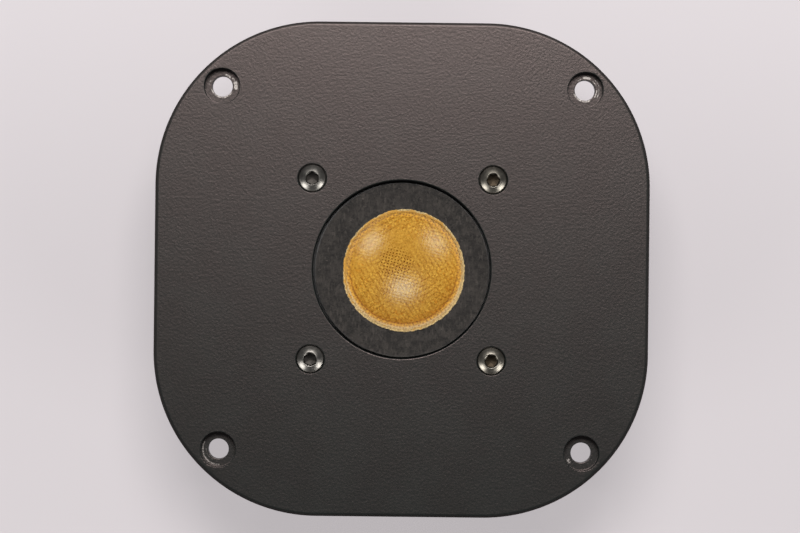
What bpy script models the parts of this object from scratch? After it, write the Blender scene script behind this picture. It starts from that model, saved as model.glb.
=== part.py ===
"""Inverted-dome tweeter with a square flange, built as the separate pieces that it is assembled from.

Units are metres, +Z is the axis of the dome and points at the listener. The origin is the centre of
the motor's rear face. Every turned piece is a half section swept round the Z axis.
"""

import math

import bmesh
import bpy
from mathutils import Matrix, Vector

MM = 0.001

# ---------------------------------------------------------------- clearances
SEAT_GAP = 0.05 * MM  # between faces that are clamped together
GLUE_LINE = 0.1 * MM  # between faces that are bonded over a wide area
RUNNING_GAP = 0.3 * MM  # each side of the former and of the winding in the magnetic gap
THREAD_GAP = 0.1 * MM  # round a screw's shank in its tapped hole

# ---------------------------------------------------------------- moving system
FORMER_RADIUS = 9.9 * MM  # inside of the voice-coil former
FORMER_WALL = 0.12 * MM
FORMER_TAIL = 0.3 * MM  # bare former below the winding
WINDING_HEIGHT = 2.2 * MM
WINDING_THICKNESS = 0.3 * MM
DOME_OVERHANG = 1.48 * MM  # from the former's outside to the dome's rim
DOME_BALL_RADIUS = 15.6 * MM  # radius of the dome's concave face
DOME_THICKNESS = 0.25 * MM
SURROUND_THICKNESS = 0.25 * MM
SURROUND_LIP = 0.5 * MM  # how far the surround reaches in behind the dome's rim
ROLL_WIDTH = 1.75 * MM
ROLL_RISE = 0.55 * MM
ROLL_CLEARANCE = 0.4 * MM  # from the crest of the roll to the felt over it
SURROUND_FLANGE = 1.9 * MM  # width of the flat flange outside the roll

# ---------------------------------------------------------------- felt ring and suspension ring
FELT_THICKNESS = 1.5 * MM
FELT_RECESS = 0.1 * MM  # how far the felt lies below the faceplate's front
FELT_REVEAL = 1.38 * MM  # ring of the surround that shows inside the felt
FELT_HOLE_X = 0.4 * MM  # the hole is cut by hand, and its centre lies a little off the axis
FELT_HOLE_Y = -0.35 * MM
FELT_EDGE_ROUND = 0.2 * MM
FELT_MARGIN = 0.1 * MM  # the felt stops this short of the suspension ring's shoulder
SHOULDER_WIDTH = 2.8 * MM
SHOULDER_GAP = 0.35 * MM  # between the suspension ring's shoulder and the faceplate's opening
RING_FLANGE_WIDTH = 3.6 * MM
RING_FLANGE_THICKNESS = 1.2 * MM
RING_RADIAL_GAP = 0.2 * MM
RING_HEADROOM = 0.15 * MM

# ---------------------------------------------------------------- faceplate
PLATE_WIDTH = 104.0 * MM
PLATE_THICKNESS = 4.5 * MM
PLATE_CORNER_RADIUS = 34.5 * MM
PLATE_EDGE_ROUND = 0.85 * MM
OPENING_CHAMFER = 0.3 * MM
MOUNT_HOLE_INSET = 5.25 * MM  # from the corner's edge to the hole's centre, along the diagonal
MOUNT_HOLE_RADIUS = 2.15 * MM
MOUNT_SEAT_RADIUS = 3.7 * MM
MOUNT_SEAT_DEPTH = 2.0 * MM
MOUTH_CHAMFER = 0.2 * MM  # broken edge at the mouth of each counterbore

# ---------------------------------------------------------------- screws
SCREW_LAND = 1.71 * MM  # metal between the suspension ring's recess and the screws' counterbores
SCREW_SEAT_DEPTH = 1.2 * MM  # the heads stand a little proud of the faceplate
SCREW_HEAD_RADIUS = 2.85 * MM
SCREW_HEAD_HEIGHT = 1.65 * MM
SCREW_HEAD_BALL = 4.0 * MM  # radius of the head's domed top
SCREW_SOCKET_WIDTH = 2.4 * MM  # across the flats
SCREW_SOCKET_DEPTH = 1.1 * MM
SCREW_SHANK_RADIUS = 1.5 * MM
SCREW_LENGTH = 6.5 * MM
SCREW_HEAD_GAP = 0.17 * MM
SCREW_HOLE_RADIUS = 1.7 * MM

# ---------------------------------------------------------------- motor
BACK_PLATE_THICKNESS = 5.0 * MM
MAGNET_THICKNESS = 14.8 * MM
MAGNET_HOLE_RADIUS = 16.0 * MM
TOP_PLATE_THICKNESS = 4.0 * MM
MOTOR_MARGIN = 9.0 * MM  # from the screw circle to the outside of the motor
MAGNET_INSET = 0.5 * MM  # the ferrite is a little smaller than the steel plates
STEEL_CHAMFER = 0.5 * MM
FERRITE_CHAMFER = 0.9 * MM
DISH_CLEARANCE = 0.9 * MM  # between the dome's back and the dished front of the pole
POLE_LAND = 0.4 * MM
POLE_SPIGOT_RADIUS = 6.5 * MM
POLE_SPIGOT_INSET = 0.3 * MM
VENT_RADIUS = 4.0 * MM
VENT_FLARE = 0.6 * MM
PLUG_GAP = 0.2 * MM
PLUG_LENGTH = 10.0 * MM
PLUG_SETBACK = 1.2 * MM  # from the vent's mouth in the dish to the plug

# ---------------------------------------------------------------- leads and terminals
LEAD_SPACING = 11.0 * MM
LEAD_RADIUS = 0.125 * MM
LEAD_LIFT = 0.3 * MM  # the leads' height over the top plate
LEAD_RISE = 0.55 * MM  # how far over the winding a lead leaves the former
LEAD_CHANNEL_WIDTH = 1.0 * MM
LEAD_CHANNEL_DEPTH = 0.7 * MM
BOARD_WIDTH = 22.0 * MM
BOARD_LENGTH = 7.0 * MM
BOARD_THICKNESS = 1.6 * MM
BOARD_SETBACK = 2.6 * MM  # from the motor's side to the board
BOARD_CORNER_RADIUS = 1.0 * MM
TAB_THICKNESS = 0.8 * MM
TAB_MARGIN = 0.4 * MM  # from the board's inner edge to the tab's foot
TAB_FOOT_LENGTH = 5.4 * MM
TAB_BLADE_LENGTH = 8.6 * MM
TAB_WIDTHS = {"positive": 4.8 * MM, "negative": 2.8 * MM}
TAB_HOLE_RADIUS = 0.7 * MM
TAB_HOLE_SETBACK = 3.2 * MM  # from the blade's tip
TAB_TIP_CHAMFER = 0.6 * MM
EYELET_RADIUS = 1.1 * MM
EYELET_BORE_RADIUS = 0.7 * MM
EYELET_FLANGE_RADIUS = 1.8 * MM
EYELET_FLANGE_THICKNESS = 0.25 * MM
EYELET_GAP = 0.1 * MM
EYELET_POCKET_DEPTH = 0.6 * MM
EYELET_SETBACK = 3.0 * MM  # from the board's inner edge
BOARD_SCREW_HEAD_RADIUS = 2.2 * MM
BOARD_SCREW_HEAD_HEIGHT = 1.3 * MM
BOARD_SCREW_HEAD_BALL = 3.0 * MM
BOARD_SCREW_SOCKET_WIDTH = 1.5 * MM
BOARD_SCREW_SOCKET_DEPTH = 0.8 * MM
BOARD_SCREW_SHANK_RADIUS = 1.25 * MM
BOARD_SCREW_LENGTH = 4.3 * MM
BOARD_SCREW_TIP_ROOM = 0.3 * MM

# ---------------------------------------------------------------- mesh resolution
TURNED_STEPS = 48
SMALL_STEPS = 24
HIDDEN_STEPS = 16
PLATE_CORNER_STEPS = 16
BOWL_STEPS = 7
ROLL_STEPS = 6
DISH_STEPS = 3
CROWN_STEPS = 3
SMOOTH_ANGLE = math.radians(32)
THROUGH = 1.0 * MM  # how far a cutter reaches past the face that it breaks
MERGE = 0.00001

# ---------------------------------------------------------------- radii worked out from the above
FORMER_OUTER = FORMER_RADIUS + FORMER_WALL
WINDING_INNER = FORMER_OUTER + SEAT_GAP
WINDING_OUTER = WINDING_INNER + WINDING_THICKNESS
POLE_RADIUS = FORMER_RADIUS - RUNNING_GAP
GAP_RADIUS = WINDING_OUTER + RUNNING_GAP
DOME_RADIUS = FORMER_OUTER + DOME_OVERHANG
RIM_ANGLE = math.asin(DOME_RADIUS / DOME_BALL_RADIUS)
DOME_BACK_BALL = DOME_BALL_RADIUS + DOME_THICKNESS
LIP_BALL = DOME_BACK_BALL + SEAT_GAP
ROLL_INNER = LIP_BALL * math.sin(RIM_ANGLE)
ROLL_OUTER = ROLL_INNER + ROLL_WIDTH
FLANGE_OUTER = ROLL_OUTER + SURROUND_FLANGE
SHOULDER_INNER = FLANGE_OUTER + RING_RADIAL_GAP
SHOULDER_OUTER = SHOULDER_INNER + SHOULDER_WIDTH
FELT_OUTER = SHOULDER_OUTER - FELT_MARGIN
FELT_INNER = DOME_RADIUS + FELT_REVEAL
OPENING_RADIUS = SHOULDER_OUTER + SHOULDER_GAP
RING_OUTER = SHOULDER_OUTER + RING_FLANGE_WIDTH
RECESS_RADIUS = RING_OUTER + RING_RADIAL_GAP
SCREW_SEAT_RADIUS = SCREW_HEAD_RADIUS + SCREW_HEAD_GAP
SCREW_CIRCLE_RADIUS = RECESS_RADIUS + SCREW_LAND + SCREW_SEAT_RADIUS
MOTOR_RADIUS = SCREW_CIRCLE_RADIUS + MOTOR_MARGIN
CORNER_REACH = (PLATE_WIDTH / 2 - PLATE_CORNER_RADIUS) * math.sqrt(2) + PLATE_CORNER_RADIUS
MOUNT_CIRCLE_RADIUS = CORNER_REACH - MOUNT_HOLE_INSET

# ---------------------------------------------------------------- heights worked out from the above
MAGNET_Z = BACK_PLATE_THICKNESS + GLUE_LINE
TOP_PLATE_Z = MAGNET_Z + MAGNET_THICKNESS + GLUE_LINE
TOP_PLATE_FRONT = TOP_PLATE_Z + TOP_PLATE_THICKNESS
PLATE_Z = TOP_PLATE_FRONT + SEAT_GAP
PLATE_FRONT = PLATE_Z + PLATE_THICKNESS
RING_Z = TOP_PLATE_FRONT + SEAT_GAP
RECESS_TOP = RING_Z + RING_FLANGE_THICKNESS + RING_HEADROOM
FELT_TOP = PLATE_FRONT - FELT_RECESS
FELT_Z = FELT_TOP - FELT_THICKNESS
SHOULDER_TOP = FELT_Z - SEAT_GAP
RIM_Z = FELT_Z - ROLL_CLEARANCE - ROLL_RISE
BALL_CENTRE_Z = RIM_Z + DOME_BALL_RADIUS * math.cos(RIM_ANGLE)
FLANGE_Z = RIM_Z - SURROUND_THICKNESS
RING_SEAT_Z = FLANGE_Z - SEAT_GAP
DISH_BALL = DOME_BACK_BALL + DISH_CLEARANCE
SCREW_SEAT_Z = PLATE_FRONT - SCREW_SEAT_DEPTH
MOUNT_SEAT_Z = PLATE_FRONT - MOUNT_SEAT_DEPTH
BOARD_TOP = PLATE_Z - GLUE_LINE
BOARD_Z = BOARD_TOP - BOARD_THICKNESS
BOARD_Y = -(MOTOR_RADIUS + BOARD_SETBACK)
EYELET_Y = BOARD_Y - EYELET_SETBACK
LEAD_X = {"positive": LEAD_SPACING / 2, "negative": -LEAD_SPACING / 2}
LEAD_Z = TOP_PLATE_FRONT + LEAD_LIFT
BOARD_SCREW_Y = BOARD_Y - BOARD_LENGTH / 2


def ball_height(ball_radius, radius):
    """Height of a ball's lower half, centred on the dome's centre of curvature, at a radius from the axis."""
    return BALL_CENTRE_Z - math.sqrt(ball_radius**2 - radius**2)


POLE_TOP = ball_height(DISH_BALL, POLE_RADIUS - POLE_LAND)
WINDING_Z = (TOP_PLATE_Z + POLE_TOP - WINDING_HEIGHT) / 2
WINDING_TOP = WINDING_Z + WINDING_HEIGHT

# ---------------------------------------------------------------- materials
FINISHES = {
    "black_paint": ((0.055, 0.050, 0.048), 0.55, 0.0),
    "dark_felt": ((0.045, 0.040, 0.038), 0.95, 0.0),
    "golden_cloth": ((0.52, 0.27, 0.055), 0.45, 0.0),
    "pale_foam": ((0.56, 0.42, 0.22), 0.7, 0.0),
    "black_plastic": ((0.03, 0.03, 0.03), 0.5, 0.0),
    "amber_film": ((0.45, 0.22, 0.05), 0.4, 0.0),
    "copper_wire": ((0.72, 0.31, 0.17), 0.35, 1.0),
    "zinc_steel": ((0.55, 0.56, 0.57), 0.35, 1.0),
    "ferrite": ((0.05, 0.05, 0.055), 0.75, 0.0),
    "nickel_steel": ((0.48, 0.46, 0.43), 0.28, 1.0),
    "tinned_brass": ((0.70, 0.68, 0.62), 0.3, 1.0),
    "brown_board": ((0.20, 0.10, 0.05), 0.6, 0.0),
}


def material(name):
    """The named finish, made on first use."""
    made = bpy.data.materials.get(name)
    if made:
        return made
    colour, roughness, metallic = FINISHES[name]
    made = bpy.data.materials.new(name)
    made.use_nodes = True
    shader = made.node_tree.nodes["Principled BSDF"]
    shader.inputs["Base Color"].default_value = (*colour, 1)
    shader.inputs["Roughness"].default_value = roughness
    shader.inputs["Metallic"].default_value = metallic
    made.diffuse_color = (*colour, 1)
    return made


def clear_scene():
    for old in list(bpy.data.objects):
        bpy.data.objects.remove(old)


def new_collection(name):
    made = bpy.data.collections.new(name)
    bpy.context.scene.collection.children.link(made)
    return made


# ---------------------------------------------------------------- building blocks
def add_mesh(name, shape, collection):
    """An object from a bmesh, with its normals facing out."""
    bmesh.ops.recalc_face_normals(shape, faces=shape.faces)
    mesh = bpy.data.meshes.new(name)
    shape.to_mesh(mesh)
    shape.free()
    made = bpy.data.objects.new(name, mesh)
    collection.objects.link(made)
    return made


def turned(name, section, collection, steps=TURNED_STEPS):
    """A half section of (radius, height) points swept round Z.

    A section that starts and ends on the axis stays open there, and any other is closed.
    The points are put in clockwise order, so that the outer side runs from top to bottom.
    """
    on_axis = section[0][0] == 0 and section[-1][0] == 0
    area = sum(
        r0 * z1 - r1 * z0
        for (r0, z0), (r1, z1) in zip(section, section[1:] + section[:1])
    )
    if area > 0:
        section = section[::-1]
    count = len(section)
    edges = [(i, i + 1) for i in range(count - 1)]
    if not on_axis:
        edges.append((count - 1, 0))
    mesh = bpy.data.meshes.new(name)
    mesh.from_pydata([(r, 0, z) for r, z in section], edges, [])
    made = bpy.data.objects.new(name, mesh)
    collection.objects.link(made)
    screw = made.modifiers.new("sweep", "SCREW")
    screw.axis = "Z"
    screw.angle = 2 * math.pi
    screw.steps = steps
    screw.render_steps = steps
    screw.use_merge_vertices = True
    screw.merge_threshold = MERGE
    return made


def box(name, low, high, collection):
    """A box between two corners."""
    shape = bmesh.new()
    bmesh.ops.create_cube(shape, size=1)
    size = Vector(high) - Vector(low)
    centre = (Vector(high) + Vector(low)) / 2
    bmesh.ops.scale(shape, vec=size, verts=shape.verts)
    bmesh.ops.translate(shape, vec=centre, verts=shape.verts)
    return add_mesh(name, shape, collection)


def rounded_slab(name, width, length, z_low, z_high, corner, steps, collection, front_round=0):
    """A flat plate with round corners, centred on Z, and its front edge rounded if asked."""
    shape = bmesh.new()
    bmesh.ops.create_cube(shape, size=1)
    bmesh.ops.scale(shape, vec=(width, length, z_high - z_low), verts=shape.verts)
    bmesh.ops.translate(shape, vec=(0, 0, (z_high + z_low) / 2), verts=shape.verts)
    uprights = [e for e in shape.edges if abs(e.verts[0].co.z - e.verts[1].co.z) > MERGE]
    bmesh.ops.bevel(shape, geom=uprights, offset=corner, segments=steps, profile=0.5, affect="EDGES")
    if front_round:
        rim = [e for e in shape.edges if all(v.co.z > z_high - MERGE for v in e.verts)]
        bmesh.ops.bevel(shape, geom=rim, offset=front_round, segments=2, profile=0.5, affect="EDGES")
    return add_mesh(name, shape, collection)


def cut(part, cutter):
    """Takes the cutter's shape out of the part."""
    cutter.hide_render = True
    cutter.display_type = "WIRE"
    boolean = part.modifiers.new(cutter.name, "BOOLEAN")
    boolean.operation = "DIFFERENCE"
    boolean.solver = "EXACT"
    boolean.object = cutter


def place(part, x, y, z=0.0, turn=0.0):
    part.location = (x, y, z)
    part.rotation_euler = (0, 0, turn)
    return part


def dress(part, finish):
    """Bakes the part's modifiers, shades round faces smooth and gives it its material."""
    bpy.context.view_layer.update()
    graph = bpy.context.evaluated_depsgraph_get()
    mesh = bpy.data.meshes.new_from_object(part.evaluated_get(graph))
    part.modifiers.clear()
    part.data = mesh
    mesh.name = part.name
    mesh.shade_smooth()
    mesh.set_sharp_from_angle(angle=SMOOTH_ANGLE)
    mesh.materials.clear()
    mesh.materials.append(material(finish))
    return part


def arc_on_ball(ball_radius, start_angle, end_angle, steps):
    """Points on a ball about the dome's centre of curvature, by angle from straight down."""
    angles = [start_angle + (end_angle - start_angle) * i / steps for i in range(steps + 1)]
    return [
        (ball_radius * math.sin(a), BALL_CENTRE_Z - ball_radius * math.cos(a)) for a in angles
    ]


def thickened(line, thickness):
    """A closed section: the line of (radius, height) points, and the same line set back by the thickness."""
    back = []
    for i, (r, z) in enumerate(line):
        r0, z0 = line[max(i - 1, 0)]
        r1, z1 = line[min(i + 1, len(line) - 1)]
        length = math.hypot(r1 - r0, z1 - z0)
        back.append((r + thickness * (z1 - z0) / length, z - thickness * (r1 - r0) / length))
    return line + back[::-1]


def corners(radius, count=4):
    """Centres spread evenly round the axis, starting on the diagonal."""
    angles = [math.pi / 4 + 2 * math.pi * i / count for i in range(count)]
    return [(radius * math.cos(a), radius * math.sin(a)) for a in angles]


def counterbore(name, hole, seat_radius, seat_z, low_z, cutters):
    """A turned cutter: a hole, its flat-bottomed seat and the broken edge at the seat's mouth."""
    mouth = seat_radius + MOUTH_CHAMFER
    section = [
        (0, low_z),
        (hole, low_z),
        (hole, seat_z),
        (seat_radius, seat_z),
        (seat_radius, PLATE_FRONT - MOUTH_CHAMFER),
        (mouth, PLATE_FRONT),
        (mouth, PLATE_FRONT + THROUGH),
        (0, PLATE_FRONT + THROUGH),
    ]
    return turned(name, section, cutters, SMALL_STEPS)


def smooth_route(points, samples):
    """A Catmull-Rom curve through the points, with a number of samples between each two."""
    route = []
    ends = [points[0] * 2 - points[1], *points, points[-1] * 2 - points[-2]]
    for i in range(len(points) - 1):
        a, b, c, d = ends[i : i + 4]
        for step in range(samples):
            t = step / samples
            route.append(
                0.5
                * (
                    2 * b
                    + (c - a) * t
                    + (2 * a - 5 * b + 4 * c - d) * t**2
                    + (3 * b - a - 3 * c + d) * t**3
                )
            )
    route.append(points[-1])
    return route


def wire(name, points, radius, collection):
    """A round wire along a polyline, as a closed mesh."""
    curve = bpy.data.curves.new(name + "_route", "CURVE")
    curve.dimensions = "3D"
    curve.bevel_depth = radius
    curve.bevel_resolution = 2
    curve.use_fill_caps = True
    spline = curve.splines.new("POLY")
    spline.points.add(len(points) - 1)
    for spot, point in zip(spline.points, points):
        spot.co = (*point, 1)
    route = bpy.data.objects.new(name + "_route", curve)
    collection.objects.link(route)
    bpy.context.view_layer.update()
    graph = bpy.context.evaluated_depsgraph_get()
    mesh = bpy.data.meshes.new_from_object(route.evaluated_get(graph))
    shape = bmesh.new()
    shape.from_mesh(mesh)
    bmesh.ops.remove_doubles(shape, verts=shape.verts, dist=MERGE / 10)
    bpy.data.objects.remove(route)
    return add_mesh(name, shape, collection)


# ---------------------------------------------------------------- faceplate and what fills its opening
def build_faceplate(parts, cutters):
    """Square flange: round corners, stepped opening, counterbored holes and grooves for the leads."""
    plate = rounded_slab(
        "faceplate",
        PLATE_WIDTH,
        PLATE_WIDTH,
        PLATE_Z,
        PLATE_FRONT,
        PLATE_CORNER_RADIUS,
        PLATE_CORNER_STEPS,
        parts,
        PLATE_EDGE_ROUND,
    )
    opening = [
        (0, PLATE_Z - THROUGH),
        (RECESS_RADIUS, PLATE_Z - THROUGH),
        (RECESS_RADIUS, RECESS_TOP),
        (OPENING_RADIUS, RECESS_TOP),
        (OPENING_RADIUS, PLATE_FRONT - OPENING_CHAMFER),
        (OPENING_RADIUS + OPENING_CHAMFER, PLATE_FRONT),
        (OPENING_RADIUS + OPENING_CHAMFER, PLATE_FRONT + THROUGH),
        (0, PLATE_FRONT + THROUGH),
    ]
    cut(plate, turned("opening_cutter", opening, cutters))
    low = PLATE_Z - THROUGH
    for i, (x, y) in enumerate(corners(MOUNT_CIRCLE_RADIUS), 1):
        hole = counterbore(
            f"mount_hole_cutter_{i}", MOUNT_HOLE_RADIUS, MOUNT_SEAT_RADIUS, MOUNT_SEAT_Z, low, cutters
        )
        cut(plate, place(hole, x, y))
    for i, (x, y) in enumerate(corners(SCREW_CIRCLE_RADIUS), 1):
        hole = counterbore(
            f"screw_hole_cutter_{i}", SCREW_HOLE_RADIUS, SCREW_SEAT_RADIUS, SCREW_SEAT_Z, low, cutters
        )
        cut(plate, place(hole, x, y))
    for side, x in LEAD_X.items():
        groove = box(
            f"faceplate_lead_groove_{side}",
            (x - LEAD_CHANNEL_WIDTH / 2, BOARD_Y, low),
            (x + LEAD_CHANNEL_WIDTH / 2, THROUGH - RECESS_RADIUS, PLATE_Z + LEAD_CHANNEL_DEPTH),
            cutters,
        )
        cut(plate, groove)
    radius = BOARD_SCREW_SHANK_RADIUS + THREAD_GAP
    top = BOARD_Z - SEAT_GAP + BOARD_SCREW_LENGTH + BOARD_SCREW_TIP_ROOM
    tapped = turned(
        "board_screw_hole_cutter",
        [(0, low), (radius, low), (radius, top), (0, top)],
        cutters,
        HIDDEN_STEPS,
    )
    cut(plate, place(tapped, 0, BOARD_SCREW_Y))
    dress(plate, "black_paint")


def build_felt_ring(parts, cutters):
    """Felt ring with a rounded front edge and a hole cut slightly off centre."""
    blank = [
        (0, FELT_Z),
        (FELT_OUTER, FELT_Z),
        (FELT_OUTER, FELT_TOP - FELT_EDGE_ROUND),
        (FELT_OUTER - FELT_EDGE_ROUND, FELT_TOP),
        (0, FELT_TOP),
    ]
    felt = turned("felt_ring", blank, parts)
    hole = [
        (0, FELT_Z - THROUGH),
        (FELT_INNER, FELT_Z - THROUGH),
        (FELT_INNER, FELT_TOP - FELT_EDGE_ROUND),
        (FELT_INNER + FELT_EDGE_ROUND, FELT_TOP),
        (FELT_INNER + FELT_EDGE_ROUND, FELT_TOP + THROUGH),
        (0, FELT_TOP + THROUGH),
    ]
    cut(felt, place(turned("felt_hole_cutter", hole, cutters), FELT_HOLE_X, FELT_HOLE_Y))
    dress(felt, "dark_felt")


def build_suspension_ring(parts, cutters):
    """Moulded ring: a flange clamped behind the faceplate, a seat for the surround, a shoulder for the felt."""
    section = [
        (ROLL_OUTER, RING_Z),
        (RING_OUTER, RING_Z),
        (RING_OUTER, RING_Z + RING_FLANGE_THICKNESS),
        (SHOULDER_OUTER, RING_Z + RING_FLANGE_THICKNESS),
        (SHOULDER_OUTER, SHOULDER_TOP),
        (SHOULDER_INNER, SHOULDER_TOP),
        (SHOULDER_INNER, RING_SEAT_Z),
        (ROLL_OUTER, RING_SEAT_Z),
    ]
    ring = turned("suspension_ring", section, parts)
    for side, x in LEAD_X.items():
        channel = box(
            f"ring_lead_channel_{side}",
            (x - LEAD_CHANNEL_WIDTH / 2, -RING_OUTER - THROUGH, RING_Z - THROUGH),
            (x + LEAD_CHANNEL_WIDTH / 2, 0, RING_Z + LEAD_CHANNEL_DEPTH),
            cutters,
        )
        cut(ring, channel)
    dress(ring, "black_plastic")


# ---------------------------------------------------------------- moving system
def build_dome(parts):
    """Concave dome: two faces of concentric balls, joined square at the rim."""
    front = arc_on_ball(DOME_BALL_RADIUS, 0, RIM_ANGLE, BOWL_STEPS)
    back = arc_on_ball(DOME_BACK_BALL, RIM_ANGLE, 0, BOWL_STEPS)
    dome = turned("dome", front + back, parts)
    dress(dome, "golden_cloth")


def surround_line():
    """Front face of the surround: the lip behind the dome's rim, the half roll, then the flat flange."""
    lip_angle = math.asin((DOME_RADIUS - SURROUND_LIP) / LIP_BALL)
    line = arc_on_ball(LIP_BALL, lip_angle, RIM_ANGLE, 1)
    start_z = line[-1][1]
    for i in range(1, ROLL_STEPS + 1):
        share = i / ROLL_STEPS
        height = start_z + (RIM_Z - start_z) * share + ROLL_RISE * math.sin(math.pi * share)
        line.append((ROLL_INNER + ROLL_WIDTH * share, height))
    line.append((FLANGE_OUTER, RIM_Z))
    return line


def build_surround(parts):
    dress(turned("surround", thickened(surround_line(), SURROUND_THICKNESS), parts), "pale_foam")


def build_former(parts):
    """Thin tube, its front edge cut to the slope of the dome's back."""
    low = WINDING_Z - FORMER_TAIL
    section = [
        (FORMER_RADIUS, low),
        (FORMER_OUTER, low),
        (FORMER_OUTER, ball_height(DOME_BACK_BALL, FORMER_OUTER) - GLUE_LINE),
        (FORMER_RADIUS, ball_height(DOME_BACK_BALL, FORMER_RADIUS) - GLUE_LINE),
    ]
    dress(turned("voice_coil_former", section, parts), "amber_film")


def build_winding(parts):
    section = [
        (WINDING_INNER, WINDING_Z),
        (WINDING_OUTER, WINDING_Z),
        (WINDING_OUTER, WINDING_TOP),
        (WINDING_INNER, WINDING_TOP),
    ]
    dress(turned("voice_coil", section, parts), "copper_wire")


# ---------------------------------------------------------------- motor
def chamfered_ring(name, inner, outer, low, high, chamfer, parts):
    section = [
        (inner, low),
        (outer - chamfer, low),
        (outer, low + chamfer),
        (outer, high - chamfer),
        (outer - chamfer, high),
        (inner, high),
    ]
    return turned(name, section, parts)


def build_top_plate(parts, cutters):
    """Front steel plate: the magnetic gap's outer wall and four tapped holes."""
    plate = chamfered_ring(
        "top_plate", GAP_RADIUS, MOTOR_RADIUS, TOP_PLATE_Z, TOP_PLATE_FRONT, STEEL_CHAMFER, parts
    )
    radius = SCREW_SHANK_RADIUS + THREAD_GAP
    low = TOP_PLATE_Z - GLUE_LINE / 2
    high = TOP_PLATE_FRONT + THROUGH
    for i, (x, y) in enumerate(corners(SCREW_CIRCLE_RADIUS), 1):
        hole = turned(
            f"tapped_hole_cutter_{i}",
            [(0, low), (radius, low), (radius, high), (0, high)],
            cutters,
            HIDDEN_STEPS,
        )
        cut(plate, place(hole, x, y))
    dress(plate, "zinc_steel")


def build_magnet(parts):
    outer = MOTOR_RADIUS - MAGNET_INSET
    top = MAGNET_Z + MAGNET_THICKNESS
    ring = chamfered_ring("magnet", MAGNET_HOLE_RADIUS, outer, MAGNET_Z, top, FERRITE_CHAMFER, parts)
    dress(ring, "ferrite")


def build_back_plate(parts):
    hole = POLE_SPIGOT_RADIUS + SEAT_GAP
    plate = chamfered_ring(
        "back_plate", hole, MOTOR_RADIUS, 0, BACK_PLATE_THICKNESS, STEEL_CHAMFER, parts
    )
    dress(plate, "zinc_steel")


def build_pole_piece(parts):
    """Steel core: a spigot in the back plate, a vent through the middle and a front dished under the dome."""
    dish = [
        (r, ball_height(DISH_BALL, r))
        for r in (
            VENT_RADIUS + (POLE_RADIUS - POLE_LAND - VENT_RADIUS) * i / DISH_STEPS
            for i in range(DISH_STEPS + 1)
        )
    ]
    section = [
        (VENT_RADIUS + VENT_FLARE, POLE_SPIGOT_INSET),
        (POLE_SPIGOT_RADIUS, POLE_SPIGOT_INSET),
        (POLE_SPIGOT_RADIUS, BACK_PLATE_THICKNESS + SEAT_GAP),
        (POLE_RADIUS, BACK_PLATE_THICKNESS + SEAT_GAP),
        (POLE_RADIUS, POLE_TOP),
        *dish[::-1],
        (VENT_RADIUS, POLE_SPIGOT_INSET + VENT_FLARE),
    ]
    dress(turned("pole_piece", section, parts), "zinc_steel")


def build_damping_felt(parts):
    """Plug in the pole's vent, set back under the dish."""
    top = ball_height(DISH_BALL, VENT_RADIUS) - PLUG_SETBACK
    low = top - PLUG_LENGTH
    radius = VENT_RADIUS - PLUG_GAP
    plug = turned("pole_damping_felt", [(0, low), (radius, low), (radius, top), (0, top)], parts)
    dress(plug, "dark_felt")


# ---------------------------------------------------------------- screws
def button_screw(name, sizes, steps, parts, cutters):
    """Button-head screw with a hexagon socket: the head sits on Z = 0 and the shank points down.

    sizes is (head radius, head height, ball radius of the head, socket width, socket depth,
    shank radius, length).
    """
    head, height, ball, socket, depth, shank, length = sizes
    flat = socket / math.sqrt(3) + MOUTH_CHAMFER
    centre = height - math.sqrt(ball**2 - flat**2)
    first = math.asin(flat / ball)
    last = math.asin(head / ball)
    crown = [
        (ball * math.sin(a), centre + ball * math.cos(a))
        for a in (first + (last - first) * i / CROWN_STEPS for i in range(CROWN_STEPS + 1))
    ]
    tip = shank * 0.3
    section = [(0, height), *crown, (head, 0), (shank, 0), (shank, tip - length), (shank - tip, -length)]
    screw = turned(name, [*section, (0, -length)], parts, steps)
    shape = bmesh.new()
    bmesh.ops.create_cone(
        shape,
        cap_ends=True,
        segments=6,
        radius1=socket / math.sqrt(3),
        radius2=socket / math.sqrt(3),
        depth=depth + THROUGH,
        matrix=Matrix.Translation((0, 0, height - depth + (depth + THROUGH) / 2)),
    )
    cutter = add_mesh(name + "_socket_cutter", shape, cutters)
    cut(screw, cutter)
    return dress(screw, "nickel_steel"), cutter


def build_face_screws(parts, cutters):
    """Four screws that hold the faceplate to the motor, each stopped at its own angle."""
    sizes = (
        SCREW_HEAD_RADIUS,
        SCREW_HEAD_HEIGHT,
        SCREW_HEAD_BALL,
        SCREW_SOCKET_WIDTH,
        SCREW_SOCKET_DEPTH,
        SCREW_SHANK_RADIUS,
        SCREW_LENGTH,
    )
    stops = (12, 0, 20, 33)
    for i, ((x, y), stop) in enumerate(zip(corners(SCREW_CIRCLE_RADIUS), stops), 1):
        screw, cutter = button_screw(f"face_screw_{i}", sizes, SMALL_STEPS, parts, cutters)
        for piece in (screw, cutter):
            place(piece, x, y, SCREW_SEAT_Z + SEAT_GAP, math.radians(stop))


def build_board_screw(parts, cutters):
    """The screw that holds the terminal board up to the faceplate's rear."""
    sizes = (
        BOARD_SCREW_HEAD_RADIUS,
        BOARD_SCREW_HEAD_HEIGHT,
        BOARD_SCREW_HEAD_BALL,
        BOARD_SCREW_SOCKET_WIDTH,
        BOARD_SCREW_SOCKET_DEPTH,
        BOARD_SCREW_SHANK_RADIUS,
        BOARD_SCREW_LENGTH,
    )
    for piece in button_screw("board_screw", sizes, HIDDEN_STEPS, parts, cutters):
        piece.location = (0, BOARD_SCREW_Y, BOARD_Z - SEAT_GAP)
        piece.rotation_euler = (math.pi, 0, 0)


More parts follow.
